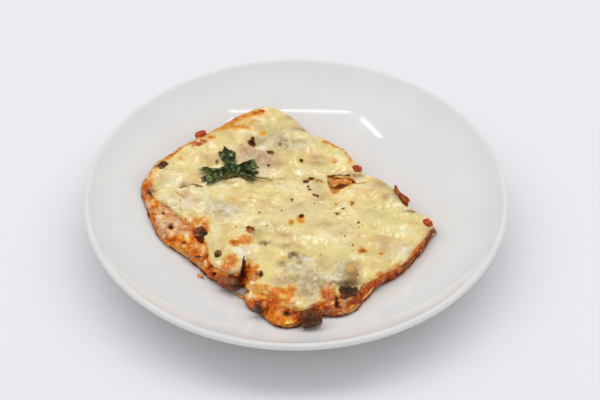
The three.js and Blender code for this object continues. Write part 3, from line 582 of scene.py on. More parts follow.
# Greenish flecks under the cheese's skin, and crumbs on the plate, in the same way.
HERBS = [
    (259.5, 212, 0.7), (281.8, 208.5, 0.5), (266.5, 224.8, 0.6), (264.5, 243.8, 1.0), (213.5, 203.6, 0.4),
    (236, 226.5, 0.6), (320, 241, 0.4), (357.5, 254.5, 0.4), (349.5, 241.5, 0.4), (288, 146.5, 0.5),
]
CRUMBS = [
    (199.8, 276.6, 1.5), (202.4, 278.4, 0.8), (241, 297.5, 1.7), (238.6, 295.6, 1.2), (243.6, 299.6, 0.9),
]

# ---- what shows on the sides ----
# Painted one over the other: pixel x, y, half width, half height, tone from light to dark,
# warmth from meat to sauce.
SIDE_SPOTS = {
    "flank, all": (170, 226, 18, 17, 0.36, 0.25), "flank, low, all": (194, 250, 15, 10, 0.42, 0.6),
    "left corner, pale": (147.5, 176, 4, 4, 0.12, 0.5), "left corner": (146.5, 184, 3.5, 4, 0.35, 0.9),
    "left corner, dark": (150, 193, 3, 4, 0.85, 0.2), "notch's edge": (199, 221, 10, 4, 0.25, 1.0),
    "notch's edge, right": (207, 226, 3.5, 6, 0.25, 0.8), "left edge": (149, 205, 4, 8, 0.22, 0.25),
    "left, orange": (154, 202, 4, 5, 0.34, 0.85), "left, red": (152, 217, 3, 6, 0.55, 1.0),
    "left, peach": (159, 215, 4, 7, 0.24, 0.35), "under the flap": (175, 208, 8, 3.5, 0.17, 0.0),
    "dot": (177, 212, 1.2, 0.9, 0.9, 0.0), "freckle": (165, 218, 3, 2, 0.32, 0.9),
    "freckle, right": (172.5, 219, 3, 2.5, 0.3, 1.0), "flank": (170, 228, 9, 7, 0.34, 0.3),
    "flank's shine": (173, 233.5, 3, 2, 0.14, 0.3), "flank, low": (170, 241, 6, 4, 0.42, 1.0),
    "flank, right": (178, 239, 5, 4, 0.52, 1.0), "cream lump": (187, 238, 2, 4.5, 0.06, 0.6),
    "pink lump": (184, 247, 3, 2.2, 0.18, 0.2), "its shadow": (183.5, 243, 2.5, 1.2, 0.75, 0.4),
    "pasta, left": (175, 250.5, 10, 4.5, 0.2, 1.0), "right of it": (192, 252, 4, 5, 0.45, 1.0),
    "maroon": (203, 235, 7, 6.5, 0.8, 0.75), "maroon's heart": (204, 236, 3.5, 4, 0.92, 0.3),
    "maroon's shine": (196, 235, 4, 0.9, 0.3, 0.3), "under it": (194.5, 241, 3, 2.5, 0.5, 1.0),
    "tan": (197, 244.5, 3, 3, 0.42, 0.3), "orange": (201.5, 247, 3, 3, 0.42, 1.0),
    "salmon": (204.5, 250, 3.5, 3.5, 0.26, 0.5), "salmon, low": (200, 254, 3.5, 2, 0.24, 0.5),
    "grey crack": (198.5, 257, 4.5, 1.1, 0.85, 0.0), "tan strip": (198, 265, 6, 5, 0.32, 0.4),
    "stream": (208, 263, 3, 13, 0.56, 1.0), "stream, dark": (212, 273, 2.5, 8, 0.68, 1.0),
    "stream's shine": (206, 262, 1, 4, 0.24, 0.6), "by the stream": (218, 265, 4.5, 6, 0.13, 0.4),
    "orange, low": (223, 272, 4, 3.5, 0.36, 1.0), "wine": (229, 274, 4, 2.5, 0.76, 0.6),
    "wine's shine": (226.5, 274.5, 2, 2, 0.3, 0.3), "dark lumps": (236, 284, 6, 7, 0.82, 0.3),
    "their light": (232.5, 281, 2, 2.2, 0.45, 0.4), "foot": (219, 286, 8, 2, 0.62, 1.0),
    # cleft: its near-black tone is painted shade in the cleft.
    "cleft": (243, 270, 3.3, 13, 1.0, 0.6), "cleft's red": (246, 274, 1.2, 6, 0.7, 1.0),
    "by the cleft": (250.5, 271, 4, 5, 0.42, 0.9), "tan oval": (254, 276.5, 2.5, 2.5, 0.42, 0.3),
    "oval": (260, 273.6, 3.6, 3.6, 0.88, 0.4), "orange, foot": (247, 284, 4, 4, 0.42, 1.0),
    "ridge, left": (250, 293, 5, 8, 0.12, 0.4), "orange spot": (250.5, 305, 3.5, 3.5, 0.47, 1.0),
    "hollow": (259, 310, 4.5, 5.5, 0.8, 0.25), "cream ridge": (264.5, 304, 2.2, 5, 0.04, 0.7),
    "lumps": (271, 314, 5, 5, 0.38, 1.0), "lumps, low": (275, 322, 4, 2.5, 0.44, 1.0),
    "corner, left": (261, 290, 7, 5, 0.2, 0.9), "corner": (274, 295, 8, 6, 0.4, 1.0),
    "corner, yellow": (264, 284, 6, 4, 0.18, 1.0), "corner, peach": (284, 297, 4, 2.5, 0.13, 0.7),
    "corner, top": (292, 290, 4.5, 4, 0.32, 1.0), "corner, red": (293, 306, 5, 4, 0.5, 1.0),
    "corner's rim": (282, 305, 5, 2, 0.1, 0.9), "dark line": (287, 314.5, 4, 1.3, 0.88, 0.3),
    "over the aubergine": (303, 310, 8, 2.2, 0.92, 0.4), "yellow lump": (290, 322, 8, 3.5, 0.12, 1.0),
    "right, orange": (321, 304.5, 4.5, 2.5, 0.4, 1.0), "right, lumps": (331, 292, 6, 7, 0.48, 0.9),
    "right, tan": (326, 287, 3, 3, 0.3, 0.6), "seam": (336, 303, 1.4, 9, 0.92, 0.8),
    "seam's shine": (333.3, 303, 1, 3, 0.3, 0.3), "right, dark": (330, 311, 7, 5, 0.72, 0.6),
    "olive": (344, 306, 4, 6, 0.52, 0.2), "under the mushroom": (348, 289, 8, 6, 0.95, 0.0),
    "aubergine": (309, 320, 13, 9, 0.8, 0.5), "aubergine, lit": (304.5, 315.5, 3.5, 2.5, 0.68, 0.7),
    "aubergine's side": (317, 325, 2.5, 3, 0.7, 0.2), "aubergine, left edge": (160, 165, 7, 5, 0.78, 0.0),
    "aubergine, left edge, lit": (158, 168, 3, 2, 0.5, 0.3),
}
# Bands along the right side: pixels, half width, tone, warmth.
SIDE_BANDS = {
    "sauce at the foot": ([(345, 318), (358, 311), (370, 301), (379, 290)], 4, 0.8, 0.95),
    "above it": ([(348, 306), (358, 299), (366, 291), (376, 282)], 3, 0.66, 0.95),
    "pasta's pale edge": ([(346, 312), (357, 304.5), (366, 296), (373, 288.5)], 0.8, 0.22, 0.8),
    "under the cheese": ([(374, 281), (382, 276.5), (390, 272)], 2, 0.45, 0.95),
    "right, broad": ([(378, 286), (388, 281), (398, 274), (408, 265), (418, 254)], 4, 0.68, 0.7),
    "right, foot": ([(380, 290), (390, 284), (398, 279)], 1.6, 0.95, 0.5),
    "right, light": ([(398, 268), (406, 261), (413, 254)], 1.6, 0.42, 0.8),
    "right, grey": ([(404, 268), (411, 262)], 2, 0.6, 0.2),
    "far right, light": ([(413, 256), (419, 248), (425, 240)], 2, 0.46, 0.85),
    "far right, dark": ([(402, 276), (416, 263), (425, 252), (432, 243)], 2.6, 0.86, 0.4),
    "right tip": ([(425, 246), (430, 239), (433, 232)], 3, 0.66, 0.4),
    "right tip's edge": ([(432.5, 240), (433.5, 234)], 1.0, 0.3, 0.2),
}
# Where the lower sheets show at the filling's foot: pixel x, y, half width, half height, strength.
SHEETS_SHOW = {
    "left": (178, 254, 13, 9, 1.0), "by the cleft": (199, 268, 5, 7, 0.9), "corner": (290, 326, 10, 5, 0.8),
    "right": (360, 308, 16, 10, 1.0), "far right": (412, 264, 14, 10, 0.7),
    "back": (300, 120, 200, 40, 0.5),
}
PALE_PASTA = {  # where their edge is pale, in the same way
    "front left": (176, 251, 12, 5, 1.0), "by the cleft": (197, 264, 8, 6, 0.8),
    "front corner": (286, 324, 14, 5, 0.8), "right": (356, 309, 8, 4, 0.6),
    "far right": (414, 262, 8, 5, 0.5),
}
# Hollows pushed into the side, painted darker as shade: pixel x, y and radius in pixels.
HOLLOWS = [
    (170.7, 226.4, 2.2), (260, 291, 1.6), (247, 291, 1.6), (214, 274, 1.4), (286, 312, 1.6),
    (163, 213, 1.2),
]

# ---- lumps of vegetable: size, place, turns, kind ----
LUMPS = {
    "aubergine_front": ((11.5, 7.5, 7), (8.5, -98.5, 26.6), (20, 0, 10), "aubergine"),
    "mushroom_front": ((7.5, 6, 6.5), (-19.5, -87, 24.5), (10, 8, 35), "mushroom"),
    "mushroom_cleft": ((13, 6, 5.5), (-37.5, -64.5, 19.8), (8, 0, -25), "mushroom"),
    "mushroom_notch": ((11, 8, 6), (-54.5, -28, 21.6), (0, 12, -50), "mushroom"),
    "mushroom_side": ((11, 7.5, 5), (29, -75.5, 24.6), (10, 0, 30), "mushroom"),
    "aubergine_left": ((8, 4.5, 4), (-81, 27, 26.6), (0, 8, 52), "aubergine"),
    "pepper_right": ((4.4, 5.5, 7), (77, -20.5, 24), (0, -10, 25), "red_pepper"),
    "pepper_notch": ((5, 4.4, 3.8), (37, 29.6, 22.8), (0, 10, 40), "red_pepper"),
    "pepper_back": ((6.5, 3.6, 3.2), (-59, 57.5, 26.3), (0, 0, 30), "red_pepper"),
    "caper": ((4.8, 4.8, 4.6), (-44.5, -47.5, 26), (0, 0, 0), "caper"),
}


# ---- the cheese's surface ----
RELIEF = [(16, 1.4, 21), (8.5, 1.35, 22), (4, 0.42, 24), (1.6, 0.12, 25)]  # swells, lumps, small lumps, skin
CHEESE_STIR = (7, 1.8, 11)
STRANDS, STRAND_HEIGHT, STRAND_SHARPNESS = [(5.4, 1, 23)], 0.5, 4
WRINKLES = finer_and_finer(3.8, 0.8, 26)
TOP_RAGGED = 1.2
BUMP_HEIGHTS = 1.35  # how much bumps and dips are made to stand out
CREASE_STEP, CREASE_STEP_WIDTH, CREASE_STEP_REACH = 0.9, 1.2, 6
CRACK_LIP, CRACK_LIP_AT = 0.3, 2.6  # cracks have raised lips, as a share of the depth and in half widths
DEEPEST_HOLLOW = 1.1
RELIEF_DOWN, TOP_DOWN = 0.3, 0.3  # these keep the lumps near the solid's top


def cheese_top(x, y):
    """The top of the cheese with its melted lumps, blisters and cracks."""
    warped = stirred(flat(x, y), *CHEESE_STIR)
    relief = layered(warped, RELIEF) - RELIEF_DOWN
    relief += STRAND_HEIGHT * (1 - np.abs(layered(warped, STRANDS))) ** STRAND_SHARPNESS
    _, _, away, side = nearest_on_path(*slice_axes(x, y), CREASE_PATH)
    relief -= CREASE_STEP * np.tanh(side * away / CREASE_STEP_WIDTH) * bell(away, CREASE_STEP_REACH)
    level = top_height(x, y)
    px, py = picture_of(np.stack([x, y, level], -1), TOP_RAGGED)
    relief += layered(warped, WRINKLES) * strongest(spot, px, py, SPOTS["wrinkled"])
    relief += BUMP_HEIGHTS * (strongest(spot, px, py, BUMPS) - strongest(spot, px, py, DIPS))
    for path, half_width, depth in CRACKS.values():
        away = distance_to_path(px, py, path) / half_width
        relief -= depth * (np.exp(-(away**2)) - CRACK_LIP * bell(away - CRACK_LIP_AT, 1))
    hollow = -DEEPEST_HOLLOW * np.tanh(-relief / DEEPEST_HOLLOW)
    return level - TOP_DOWN + np.where(relief > 0, relief, hollow)


# ---- meshes ----
def circle(count):
    return np.arange(count) * 360 / count - 180


def shell(rings):
    """Joins rings of points into a closed skin, with a fan at each end: points, quads and triangles."""
    levels, count = rings.shape[:2]
    points = np.concatenate([rings[:1].mean(1), rings.reshape(-1, 3), rings[-1:].mean(1)])
    level, i = np.meshgrid(np.arange(levels - 1), np.arange(count), indexing="ij")
    a, b = 1 + level * count + i, 1 + level * count + (i + 1) % count
    quads = np.stack([a, b, b + count, a + count], -1).reshape(-1, 4)
    first, after = np.arange(count), (np.arange(count) + 1) % count
    top, last = 1 + (levels - 1) * count, 1 + levels * count
    low = np.stack([np.zeros(count, int), 1 + after, 1 + first], -1)
    high = np.stack([np.full(count, last), top + first, top + after], -1)
    return points, quads, np.concatenate([low, high])


def outward(rings):
    """The direction that each point of a grid of rings faces."""
    around = np.roll(rings, -1, 1) - np.roll(rings, 1, 1)
    facing = np.cross(around, np.gradient(rings, axis=0))
    return facing / np.maximum(np.linalg.norm(facing, axis=-1, keepdims=True), 1e-9)


def box_surface(divisions):
    """Points on a unit cube round the origin, and its quads, which face outwards."""
    points, quads, start = [], [], 0
    for axis in range(3):
        u, v = (axis + 1) % 3, (axis + 2) % 3
        rows, columns = divisions[u], divisions[v]
        steps = [np.linspace(-0.5, 0.5, count + 1) for count in (rows, columns)]
        a, b = np.meshgrid(*steps, indexing="ij")
        i, j = np.meshgrid(np.arange(rows), np.arange(columns), indexing="ij")
        for side in (-0.5, 0.5):
            face = np.empty((a.size, 3))
            face[:, u], face[:, v], face[:, axis] = a.ravel(), b.ravel(), side
            corner = start + i * (columns + 1) + j
            after = corner + columns + 1
            quad = np.stack([corner, after, after + 1, corner + 1], -1).reshape(-1, 4)
            points.append(face)
            quads.append(quad if side > 0 else quad[:, ::-1])
            start += len(face)
    every = np.concatenate(points)
    _, first, merged = np.unique(every.round(6), axis=0, return_index=True, return_inverse=True)
    return every[first], merged.reshape(-1)[np.concatenate(quads)]


def ball_surface(divisions):
    points, quads = box_surface((divisions,) * 3)
    return points / np.linalg.norm(points, axis=-1, keepdims=True), quads


def turned(degrees):
    """A matrix that turns about X, then Y, then Z."""
    (cx, cy, cz), (sx, sy, sz) = np.cos(np.radians(degrees)), np.sin(np.radians(degrees))
    about_x = np.array([[1, 0, 0], [0, cx, -sx], [0, sx, cx]])
    about_y = np.array([[cy, 0, sy], [0, 1, 0], [-sy, 0, cy]])
    about_z = np.array([[cz, -sz, 0], [sz, cz, 0], [0, 0, 1]])
    return about_z @ about_y @ about_x


def make_piece(name, points, faces, material, slot, stands_for=(), masks=None):
    """A mesh that rides on the plate's body, with its masks as attributes for its material."""
    mesh = bpy.data.meshes.new(name)
    mesh.from_pydata((points * MM).tolist(), [], faces)
    mesh.shade_smooth()
    for mask, values in (masks or {}).items():
        mesh.attributes.new(mask, "FLOAT", "POINT").data.foreach_set("value", values.astype(np.float32))
    mesh.materials.append(material)
    piece = bpy.data.objects.new(name, mesh)
    bpy.context.scene.collection.objects.link(piece)
    if slot != "porcelain":
        food.objects.link(piece)
    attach(piece, "root")
    if stands_for:
        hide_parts(*stands_for)


def make_shell(name, rings, material, slot, stands_for, masks_of=lambda points: {}):
    """A piece that is a shell over rings of points. masks_of works out its masks from its points."""
    points, quads, fans = shell(rings)
    make_piece(name, points, quads.tolist() + fans.tolist(), material, slot, stands_for, masks_of(points))


# ---- materials ----
def screen_colour(red, green, blue):
    """A colour as it shows on a screen, from 0 to 255, as the shaders' linear numbers."""
    shares = (value / 255 for value in (red, green, blue))
    return (*(s / 12.92 if s <= 0.04045 else ((s + 0.055) / 1.055) ** 2.4 for s in shares), 1.0)


class Shader:
    """A Principled material whose colour, roughness and bump are built up from noise and masks.

    Its colours are outputs of nodes, or three numbers from 0 to 255 as they show on a screen.
    """

    def __init__(self, name, settings):
        self.material = bpy.data.materials.new(name)
        self.material.use_nodes = True
        self.tree = self.material.node_tree
        self.surface = self.tree.nodes["Principled BSDF"]
        for socket, value in settings.items():
            self.surface.inputs[socket].default_value = value
        self.place = self.node("TexCoord", "Object")

    def put(self, socket, value):
        """Links another node's output to a socket, or sets the socket's own value."""
        if isinstance(value, bpy.types.NodeSocket):
            self.tree.links.new(value, socket)
        elif socket.type == "RGBA":
            socket.default_value = screen_colour(*value)
        else:
            socket.default_value = value

    def node(self, kind, output, inputs=None, **settings):
        """One output of a new node. Its sockets go by identifier, as a Mix node has several of each name."""
        node = self.tree.nodes.new("ShaderNode" + kind)
        for setting, value in settings.items():
            setattr(node, setting, value)
        sockets = {socket.identifier: socket for socket in node.inputs}
        for socket, value in (inputs or {}).items():
            self.put(sockets[socket], value)
        return next(socket for socket in node.outputs if socket.identifier == output)

    def noise(self, size, detail=3, stretch=(1, 1, 1), twist=0.0):
        """Noise from about 0.2 to 0.8, with lumps of about size millimetres. Twist makes them strands."""
        place = self.node("Mapping", "Vector", {"Vector": self.place, "Scale": stretch})
        inputs = {"Vector": place, "Scale": 1 / (size * MM), "Detail": detail, "Distortion": twist}
        return self.node("TexNoise", "Fac", inputs)

    def cells(self, size):
        return self.node("TexVoronoi", "Distance", {"Vector": self.place, "Scale": 1 / (size * MM)})

    def mask(self, name):
        return self.node("Attribute", "Fac", attribute_name=name)

    def maths(self, operation, a, b):
        return self.node("Math", "Value", {"Value": a, "Value_001": b}, operation=operation)

    def plus(self, a, b):
        return self.maths("ADD", a, b)

    def times(self, a, b):
        return self.maths("MULTIPLY", a, b)

    def swing(self, noise, amount):
        """Noise that swings round 0."""
        return self.times(self.plus(noise, -0.5), amount)

    def between(self, value, low, high, start=0.0, end=1.0):
        """A smooth step from start to end as value goes from low to high."""
        inputs = {"Value": value, "From Min": low, "From Max": high, "To Min": start, "To Max": end}
        return self.node("MapRange", "Result", inputs, interpolation_type="SMOOTHSTEP")

    def mix(self, share, a, b):
        """A colour between a and b."""
        inputs = {"Factor_Float": share, "A_Color": a, "B_Color": b}
        return self.node("Mix", "Result_Color", inputs, data_type="RGBA")

    def layers(self, colour, coats):
        """Lays coats of colour over a colour, each with its share."""
        for share, coat in coats:
            colour = self.mix(share, colour, coat)
        return colour

    def ramp(self, value, *stops):
        """Colours along a value. Each stop is a place on it and a colour."""
        colours = self.node("ValToRGB", "Color", {"Fac": value})
        elements = colours.node.color_ramp.elements
        while len(elements) < len(stops):
            elements.new(0.5)
        for element, (position, *colour) in zip(elements, stops):
            element.position, element.color = position, screen_colour(*colour)
        return colours

    def finish(self, colour, roughness, *bumps):
        """Links the colour, the roughness and bumps of (height, millimetres high)."""
        self.put(self.surface.inputs["Base Color"], colour)
        self.put(self.surface.inputs["Roughness"], roughness)
        normal = None
        for height, millimetres in bumps:
            inputs = {"Height": height, "Distance": millimetres * MM}
            if normal:
                inputs["Normal"] = normal
            normal = self.node("Bump", "Normal", inputs)
        if normal:
            self.put(self.surface.inputs["Normal"], normal)
        return self.material


def soft(weight, scale, roughness, coat):
    """Settings of moist food: light goes in a little way and comes out again."""
    return {
        "Roughness": roughness, "Subsurface Weight": weight, "Subsurface Scale": scale * MM,
        "Subsurface Radius": (1.0, 0.6, 0.3), "Coat Weight": coat, "Coat Roughness": 0.12,
    }


def porcelain():
    shader = Shader("porcelain", {"Specular IOR Level": 0.5})
    colour = shader.mix(shader.between(shader.noise(30, 2), 0.3, 0.7), (227, 226, 224), (230, 229, 226))
    return shader.finish(colour, shader.between(shader.noise(60, 1), 0.3, 0.7, 0.04, 0.07))


SEEN_THROUGH_AND_GLINTS = {  # for each mask: strongest share and colour; white holds painted highlights
    "olive": (0.7, (230, 221, 150)), "pale": (0.8, (245, 236, 202)), "pink": (0.85, (204, 154, 116)),
    "grey": (0.85, (184, 172, 134)), "tan": (0.9, (160, 118, 66)), "white": (0.85, (246, 238, 230)),
    "dark": (0.95, (92, 60, 32)),
}
MOST_SEEN = 0.97


def side_colour(shader):
    """Minced meat, pale or dark by the mask tone and brown or orange by the mask warm."""
    tone = shader.plus(shader.mask("tone"), shader.swing(shader.noise(1.1, 4), 0.55))
    warm = shader.plus(shader.mask("warm"), shader.swing(shader.noise(2.4, 3), 1))
    meat = shader.ramp(
        tone, (0.0, 250, 230, 196), (0.2, 238, 202, 160), (0.4, 218, 162, 112),
        (0.6, 158, 106, 60), (0.8, 86, 56, 30), (1.0, 30, 18, 12))
    sauced = shader.ramp(
        tone, (0.0, 254, 224, 136), (0.2, 247, 184, 68), (0.4, 232, 124, 8),
        (0.6, 188, 72, 4), (0.8, 102, 36, 4), (1.0, 34, 14, 6))
    return shader.mix(shader.between(warm, 0.2, 0.8), meat, sauced)


def bare_cheese(shader, middle):
    """Mottled cheese, with painted shade where it stands low and painted highlight where it stands high."""
    broad = shader.between(shader.noise(15, 1), 0.4, 0.6)
    height = shader.plus(shader.mask("height"), shader.swing(shader.noise(7, 1, twist=0.8), 1))
    return shader.layers(shader.mix(broad, (251, 224, 157), (241, 220, 147)), [
        (shader.between(shader.noise(10, 1, twist=0.4), 0.5, 0.66, 0, 0.45), (230, 188, 130)),
        (shader.between(height, 0.05, 0.4, 0.5, 0), (204, 178, 112)),
        (shader.between(height, 0.52, 0.82, 0, 0.8), (251, 240, 192)),
        (shader.between(middle, 0.52, 0.7, 0, 0.5), (224, 208, 134)),
    ])


def cheese_veils_and_glints(shader, ragged):
    """What shows through the cheese's skin, and the white mask's painted highlights, ragged at their edges.
    """
    uneven = shader.plus(shader.times(ragged, 1.6), 1)
    for name, (most, tone) in SEEN_THROUGH_AND_GLINTS.items():
        share = shader.times(shader.times(shader.mask(name), uneven), most)
        yield shader.maths("MINIMUM", share, MOST_SEEN), tone


def cheese_browning_and_shade(shader, ragged):
    """Baked, bare, red and brown places, over everything else. Some of the brown, and the baked bubble's
    left, is painted shade.
    """
    streaks = shader.times(shader.mask("baked"), shader.swing(shader.noise(2.6, 3, twist=0.8), 1.8))
    baked = shader.plus(shader.plus(shader.mask("baked"), shader.times(ragged, 0.7)), streaks)
    bare, red, brown = (
        shader.plus(shader.mask(name), shader.times(ragged, amount))
        for name, amount in (("bare", 1.4), ("red", 0.5), ("brown", 0.5)))
    baked_colour = shader.ramp(
        baked, (0.0, 242, 220, 150), (0.25, 243, 204, 116), (0.5, 234, 166, 66),
        (0.75, 220, 130, 36), (1.0, 186, 80, 8))
    brown_colour = shader.ramp(
        brown, (0.0, 206, 168, 104), (0.4, 164, 100, 40), (0.65, 106, 52, 14), (1.0, 50, 24, 8))
    return [
        (shader.between(baked, 0.0, 0.55), baked_colour),
        (shader.between(bare, 0.15, 0.95), side_colour(shader)),
        (shader.between(red, 0.15, 0.65), (188, 74, 14)),
        (shader.between(brown, 0.2, 0.65), brown_colour),
    ]


def melted_cheese():
    shader = Shader("melted_cheese", soft(0.22, 2.5, 0.4, 0.9))
    middle, fine = shader.noise(6, 2, twist=0.8), shader.noise(1.5, 3)
    folds, wrinkled = shader.noise(3.8, 3, twist=0.6), shader.mask("wrinkled")
    ragged = shader.plus(shader.plus(shader.times(middle, 0.8), shader.times(fine, 0.5)), -0.65)
    # Painted shade in the wrinkles' hollows and painted highlights on their crests.
    fold_shade_and_highlights = [
        (shader.times(wrinkled, shader.between(folds, 0.34, 0.5, 0.75, 0)), (180, 152, 108)),
        (shader.times(wrinkled, shader.between(folds, 0.52, 0.7, 0, 0.65)), (247, 240, 220)),
    ]
    coats = [*cheese_veils_and_glints(shader, ragged), *fold_shade_and_highlights, *cheese_browning_and_shade(shader, ragged)]
    colour = shader.layers(bare_cheese(shader, middle), coats)
    roughness = shader.between(shader.noise(3, 2), 0.35, 0.7, 0.2, 0.45)
    wet = shader.times(fine, shader.plus(wrinkled, 0.25))
    bumps = [(middle, 0.5), (wet, 0.5), (shader.times(folds, wrinkled), 1.2), (shader.noise(0.5, 1), 0.03)]
    return shader.finish(colour, roughness, *bumps)


def mince(name):
    shader = Shader(name, soft(0.14, 1.6, 0.36, 0.15) | {"Specular IOR Level": 0.32})
    roughness = shader.between(shader.noise(1.4, 2), 0.35, 0.65, 0.18, 0.5)
    bumps = [(shader.noise(0.9, 3), 0.35), (shader.noise(0.35, 1), 0.06)]
    return shader.finish(side_colour(shader), roughness, *bumps)


def sauce():
    shader = Shader("sauce", soft(0.1, 1.5, 0.2, 0.3))
    colour = shader.ramp(shader.noise(2.6, 4), (0.3, 90, 36, 12), (0.5, 160, 76, 24), (0.7, 208, 124, 52))
    roughness = shader.between(shader.noise(1.2, 2), 0.35, 0.65, 0.12, 0.35)
    return shader.finish(colour, roughness, (shader.noise(0.8, 2), 0.15))


def pasta(name, *stops):
    """Pasta with sauce on it, and pale where its mask says so."""
    shader = Shader(name, soft(0.2, 2.0, 0.34, 0.3))
    streaks = shader.noise(2.6, 4, (1, 1, 2.5))
    pale = shader.ramp(streaks, (0.3, 206, 140, 62), (0.5, 230, 180, 92), (0.7, 240, 208, 140))
    colour = shader.mix(shader.mask("pale"), shader.ramp(streaks, *stops), pale)
    roughness = shader.between(shader.noise(1.5, 2), 0.3, 0.7, 0.22, 0.45)
    return shader.finish(colour, roughness, (shader.noise(0.6, 2), 0.08))


def sauced_pasta(name):
    return pasta(name, (0.3, 100, 44, 10), (0.48, 176, 92, 24), (0.66, 226, 150, 66))


def vegetable(name, size, *stops):
    shader = Shader(name, soft(0.05, 1.0, 0.3, 0.15))
    roughness = shader.between(shader.noise(1.2, 2), 0.35, 0.65, 0.2, 0.5)
    return shader.finish(shader.ramp(shader.noise(size, 4), *stops), roughness, (shader.noise(0.7, 2), 0.1))


def leaf_green():
    shader = Shader("leaf_green", soft(0.05, 0.6, 0.35, 0.5))
    green = shader.ramp(
        shader.noise(3, 4, twist=0.6),
        (0.32, 24, 32, 12), (0.46, 50, 62, 24), (0.58, 96, 108, 52), (0.7, 164, 168, 116))
    colour = shader.mix(shader.between(shader.mask("scorched"), 0.3, 0.8), green, (44, 28, 22))
    roughness = shader.between(shader.noise(1.2, 2), 0.35, 0.65, 0.2, 0.5)
    return shader.finish(colour, roughness, (shader.noise(1.6, 3, twist=0.6), 0.7), (shader.cells(1.1), 0.1))


def studio_floor():
    shader = Shader("studio_floor", {"Specular IOR Level": 0.2})
    colour = shader.mix(shader.between(shader.noise(400, 1), 0.3, 0.7), (234, 233, 236), (236, 235, 238))
    return shader.finish(colour, 0.7)


# ---- plate ----
def plate():
    """The whole profile from under the middle, round the foot and the lip, back to the middle of the well."""
    inner, outer = ((FOOT_INNER + FOOT_OUTER + side * FOOT_FLAT) / 2 for side in (-1, 1))
    foot = [
        (12, FOOT_HEIGHT), (FOOT_INNER - 2, FOOT_HEIGHT), (FOOT_INNER, FOOT_HEIGHT - FOOT_SLOPE),
        (inner - FOOT_EDGE, FOOT_EDGE_HEIGHT), (inner + FOOT_EDGE, 0),
        (outer - FOOT_EDGE, 0), (outer + FOOT_EDGE, FOOT_EDGE_HEIGHT),
    ]
    outside = np.linspace(FOOT_OUTER, WALL_END, WALL_STEPS)
    wall = WALL_AT_CENTRE + (WALL_AT_RIM - WALL_AT_CENTRE) * outside / WELL_RADIUS
    lip_x, lip_z = round_about(LIP_RADIUS, np.arange(-45, 131, 8))
    inside_radii = np.linspace(WELL_END, 2, WELL_STEPS)
    rise = RIM_RISE * np.clip((inside_radii - RIM_START) / (WELL_END - RIM_START), 0, None) ** 2
    profile = np.concatenate([
        foot, np.stack([outside, well_height(outside) - wall], -1),
        np.stack([LIP_CENTRE + lip_x, LIP_HEIGHT + lip_z], -1),
        np.stack([inside_radii, well_height(inside_radii) + rise], -1),
    ])
    radii, heights = profile[:, :1], profile[:, 1:]
    x, y = round_about(radii, circle(PLATE_SIDES))
    rings = np.stack([x, y, np.broadcast_to(heights, x.shape)], -1)
    make_shell("plate_glazed", rings, porcelain(), "porcelain", ["plate"])


# ---- lumps of vegetable ----
PRESSED, PRESS_DEPTH = (0.9, 1.45), 0.5  # from where to where, in half sizes of the lump, and how deep
PRESSED_SQUARENESS = 4
LUMP_RELIEF = [(3.6, 0.5, 31), (1.3, 0.16, 32)]
LUMPS_APART = 40  # gives each lump other noise
LUMP_TONE, LUMP_TONES, LUMP_WARMTH, LUMP_RAGGED = 0.38, 0.6, 0.8, 0.6
CAPER_SMOOTHNESS = 0.35
SQUARE_BY_KIND = {"caper": 2.2, "aubergine": 7, "mushroom": 4, "red_pepper": 4}


def press_in(points, facing, amount):
    """Moves points back where a lump of vegetable sits in the surface."""
    moved = points.copy()
    for size, at, turn, _ in LUMPS.values():
        local = np.abs((points - at) @ turned(turn)) / (np.array(size) / 2)
        away = (local**PRESSED_SQUARENESS).sum(-1) ** (1 / PRESSED_SQUARENESS)
        moved -= facing * (amount * (1 - step_up(away, *PRESSED)))[..., None]
    return moved


def lumps():
    reds = [(0.32, 150, 40, 14), (0.5, 190, 66, 26), (0.68, 210, 104, 52)]
    browns = [(0.34, 60, 32, 6), (0.5, 122, 70, 14), (0.66, 150, 98, 34)]
    materials = {
        "red_pepper": vegetable("red_pepper", 2.6, *reds),
        "caper": vegetable("caper", 2.6, *browns),
        "mushroom": mince("cooked_mushroom"),
        "aubergine": mince("cooked_aubergine"),
    }
    unit, quads = ball_surface(26)
    for number, (name, (size, at, turn, kind)) in enumerate(LUMPS.items()):
        power = SQUARE_BY_KIND[kind]
        points = 0.5 * unit / (np.abs(unit) ** power).sum(-1, keepdims=True) ** (1 / power) * size
        relief = layered(points + LUMPS_APART * number, LUMP_RELIEF)
        relief *= CAPER_SMOOTHNESS if kind == "caper" else 1
        points = (points + unit * relief[:, None]) @ turned(turn).T + at
        tone, warm = side_paint(points, LUMP_RAGGED)
        masks = clipped(tone=LUMP_TONE + LUMP_TONES * tone, warm=LUMP_WARMTH * warm)
        make_piece(f"{name}_cooked", points, quads.tolist(), materials[kind], kind, [name], masks)


# ---- sheets ----
SIDE_COUNT = 1100
SHEET_SHARES = (0.3, 0.7, 0.93)  # where a sheet has rings of points between its middle and its edge
NOISE_RADIUS = 72  # about the slice's own, so that noise along its edge keeps its size
SAUCE_WAVER = [(7, 1, 41), (1.8, 0.5, 42)]
PASTA_WAVER, PASTA_SKIN = [(6, 0.35, 43), (2, 0.2, 44)], [(2.4, 0.12, 45)]
UPPER_REACH, UPPER_WAVER, UPPER_PALE, UPPER_PALE_WAVER = 0.25, [(4, 0.5, 46)], 0.4, [(6, 0.4, 47)]


def waver(turn, layers):
    """Noise along the slice's edge."""
    return layered(flat(*slice_point(turn, NOISE_RADIUS)), layers)


def ring_at(turns, radius, height_of, lift=0.0):
    x, y = slice_point(turns, radius)
    return np.stack([x, y, height_of(x, y) + lift], -1)


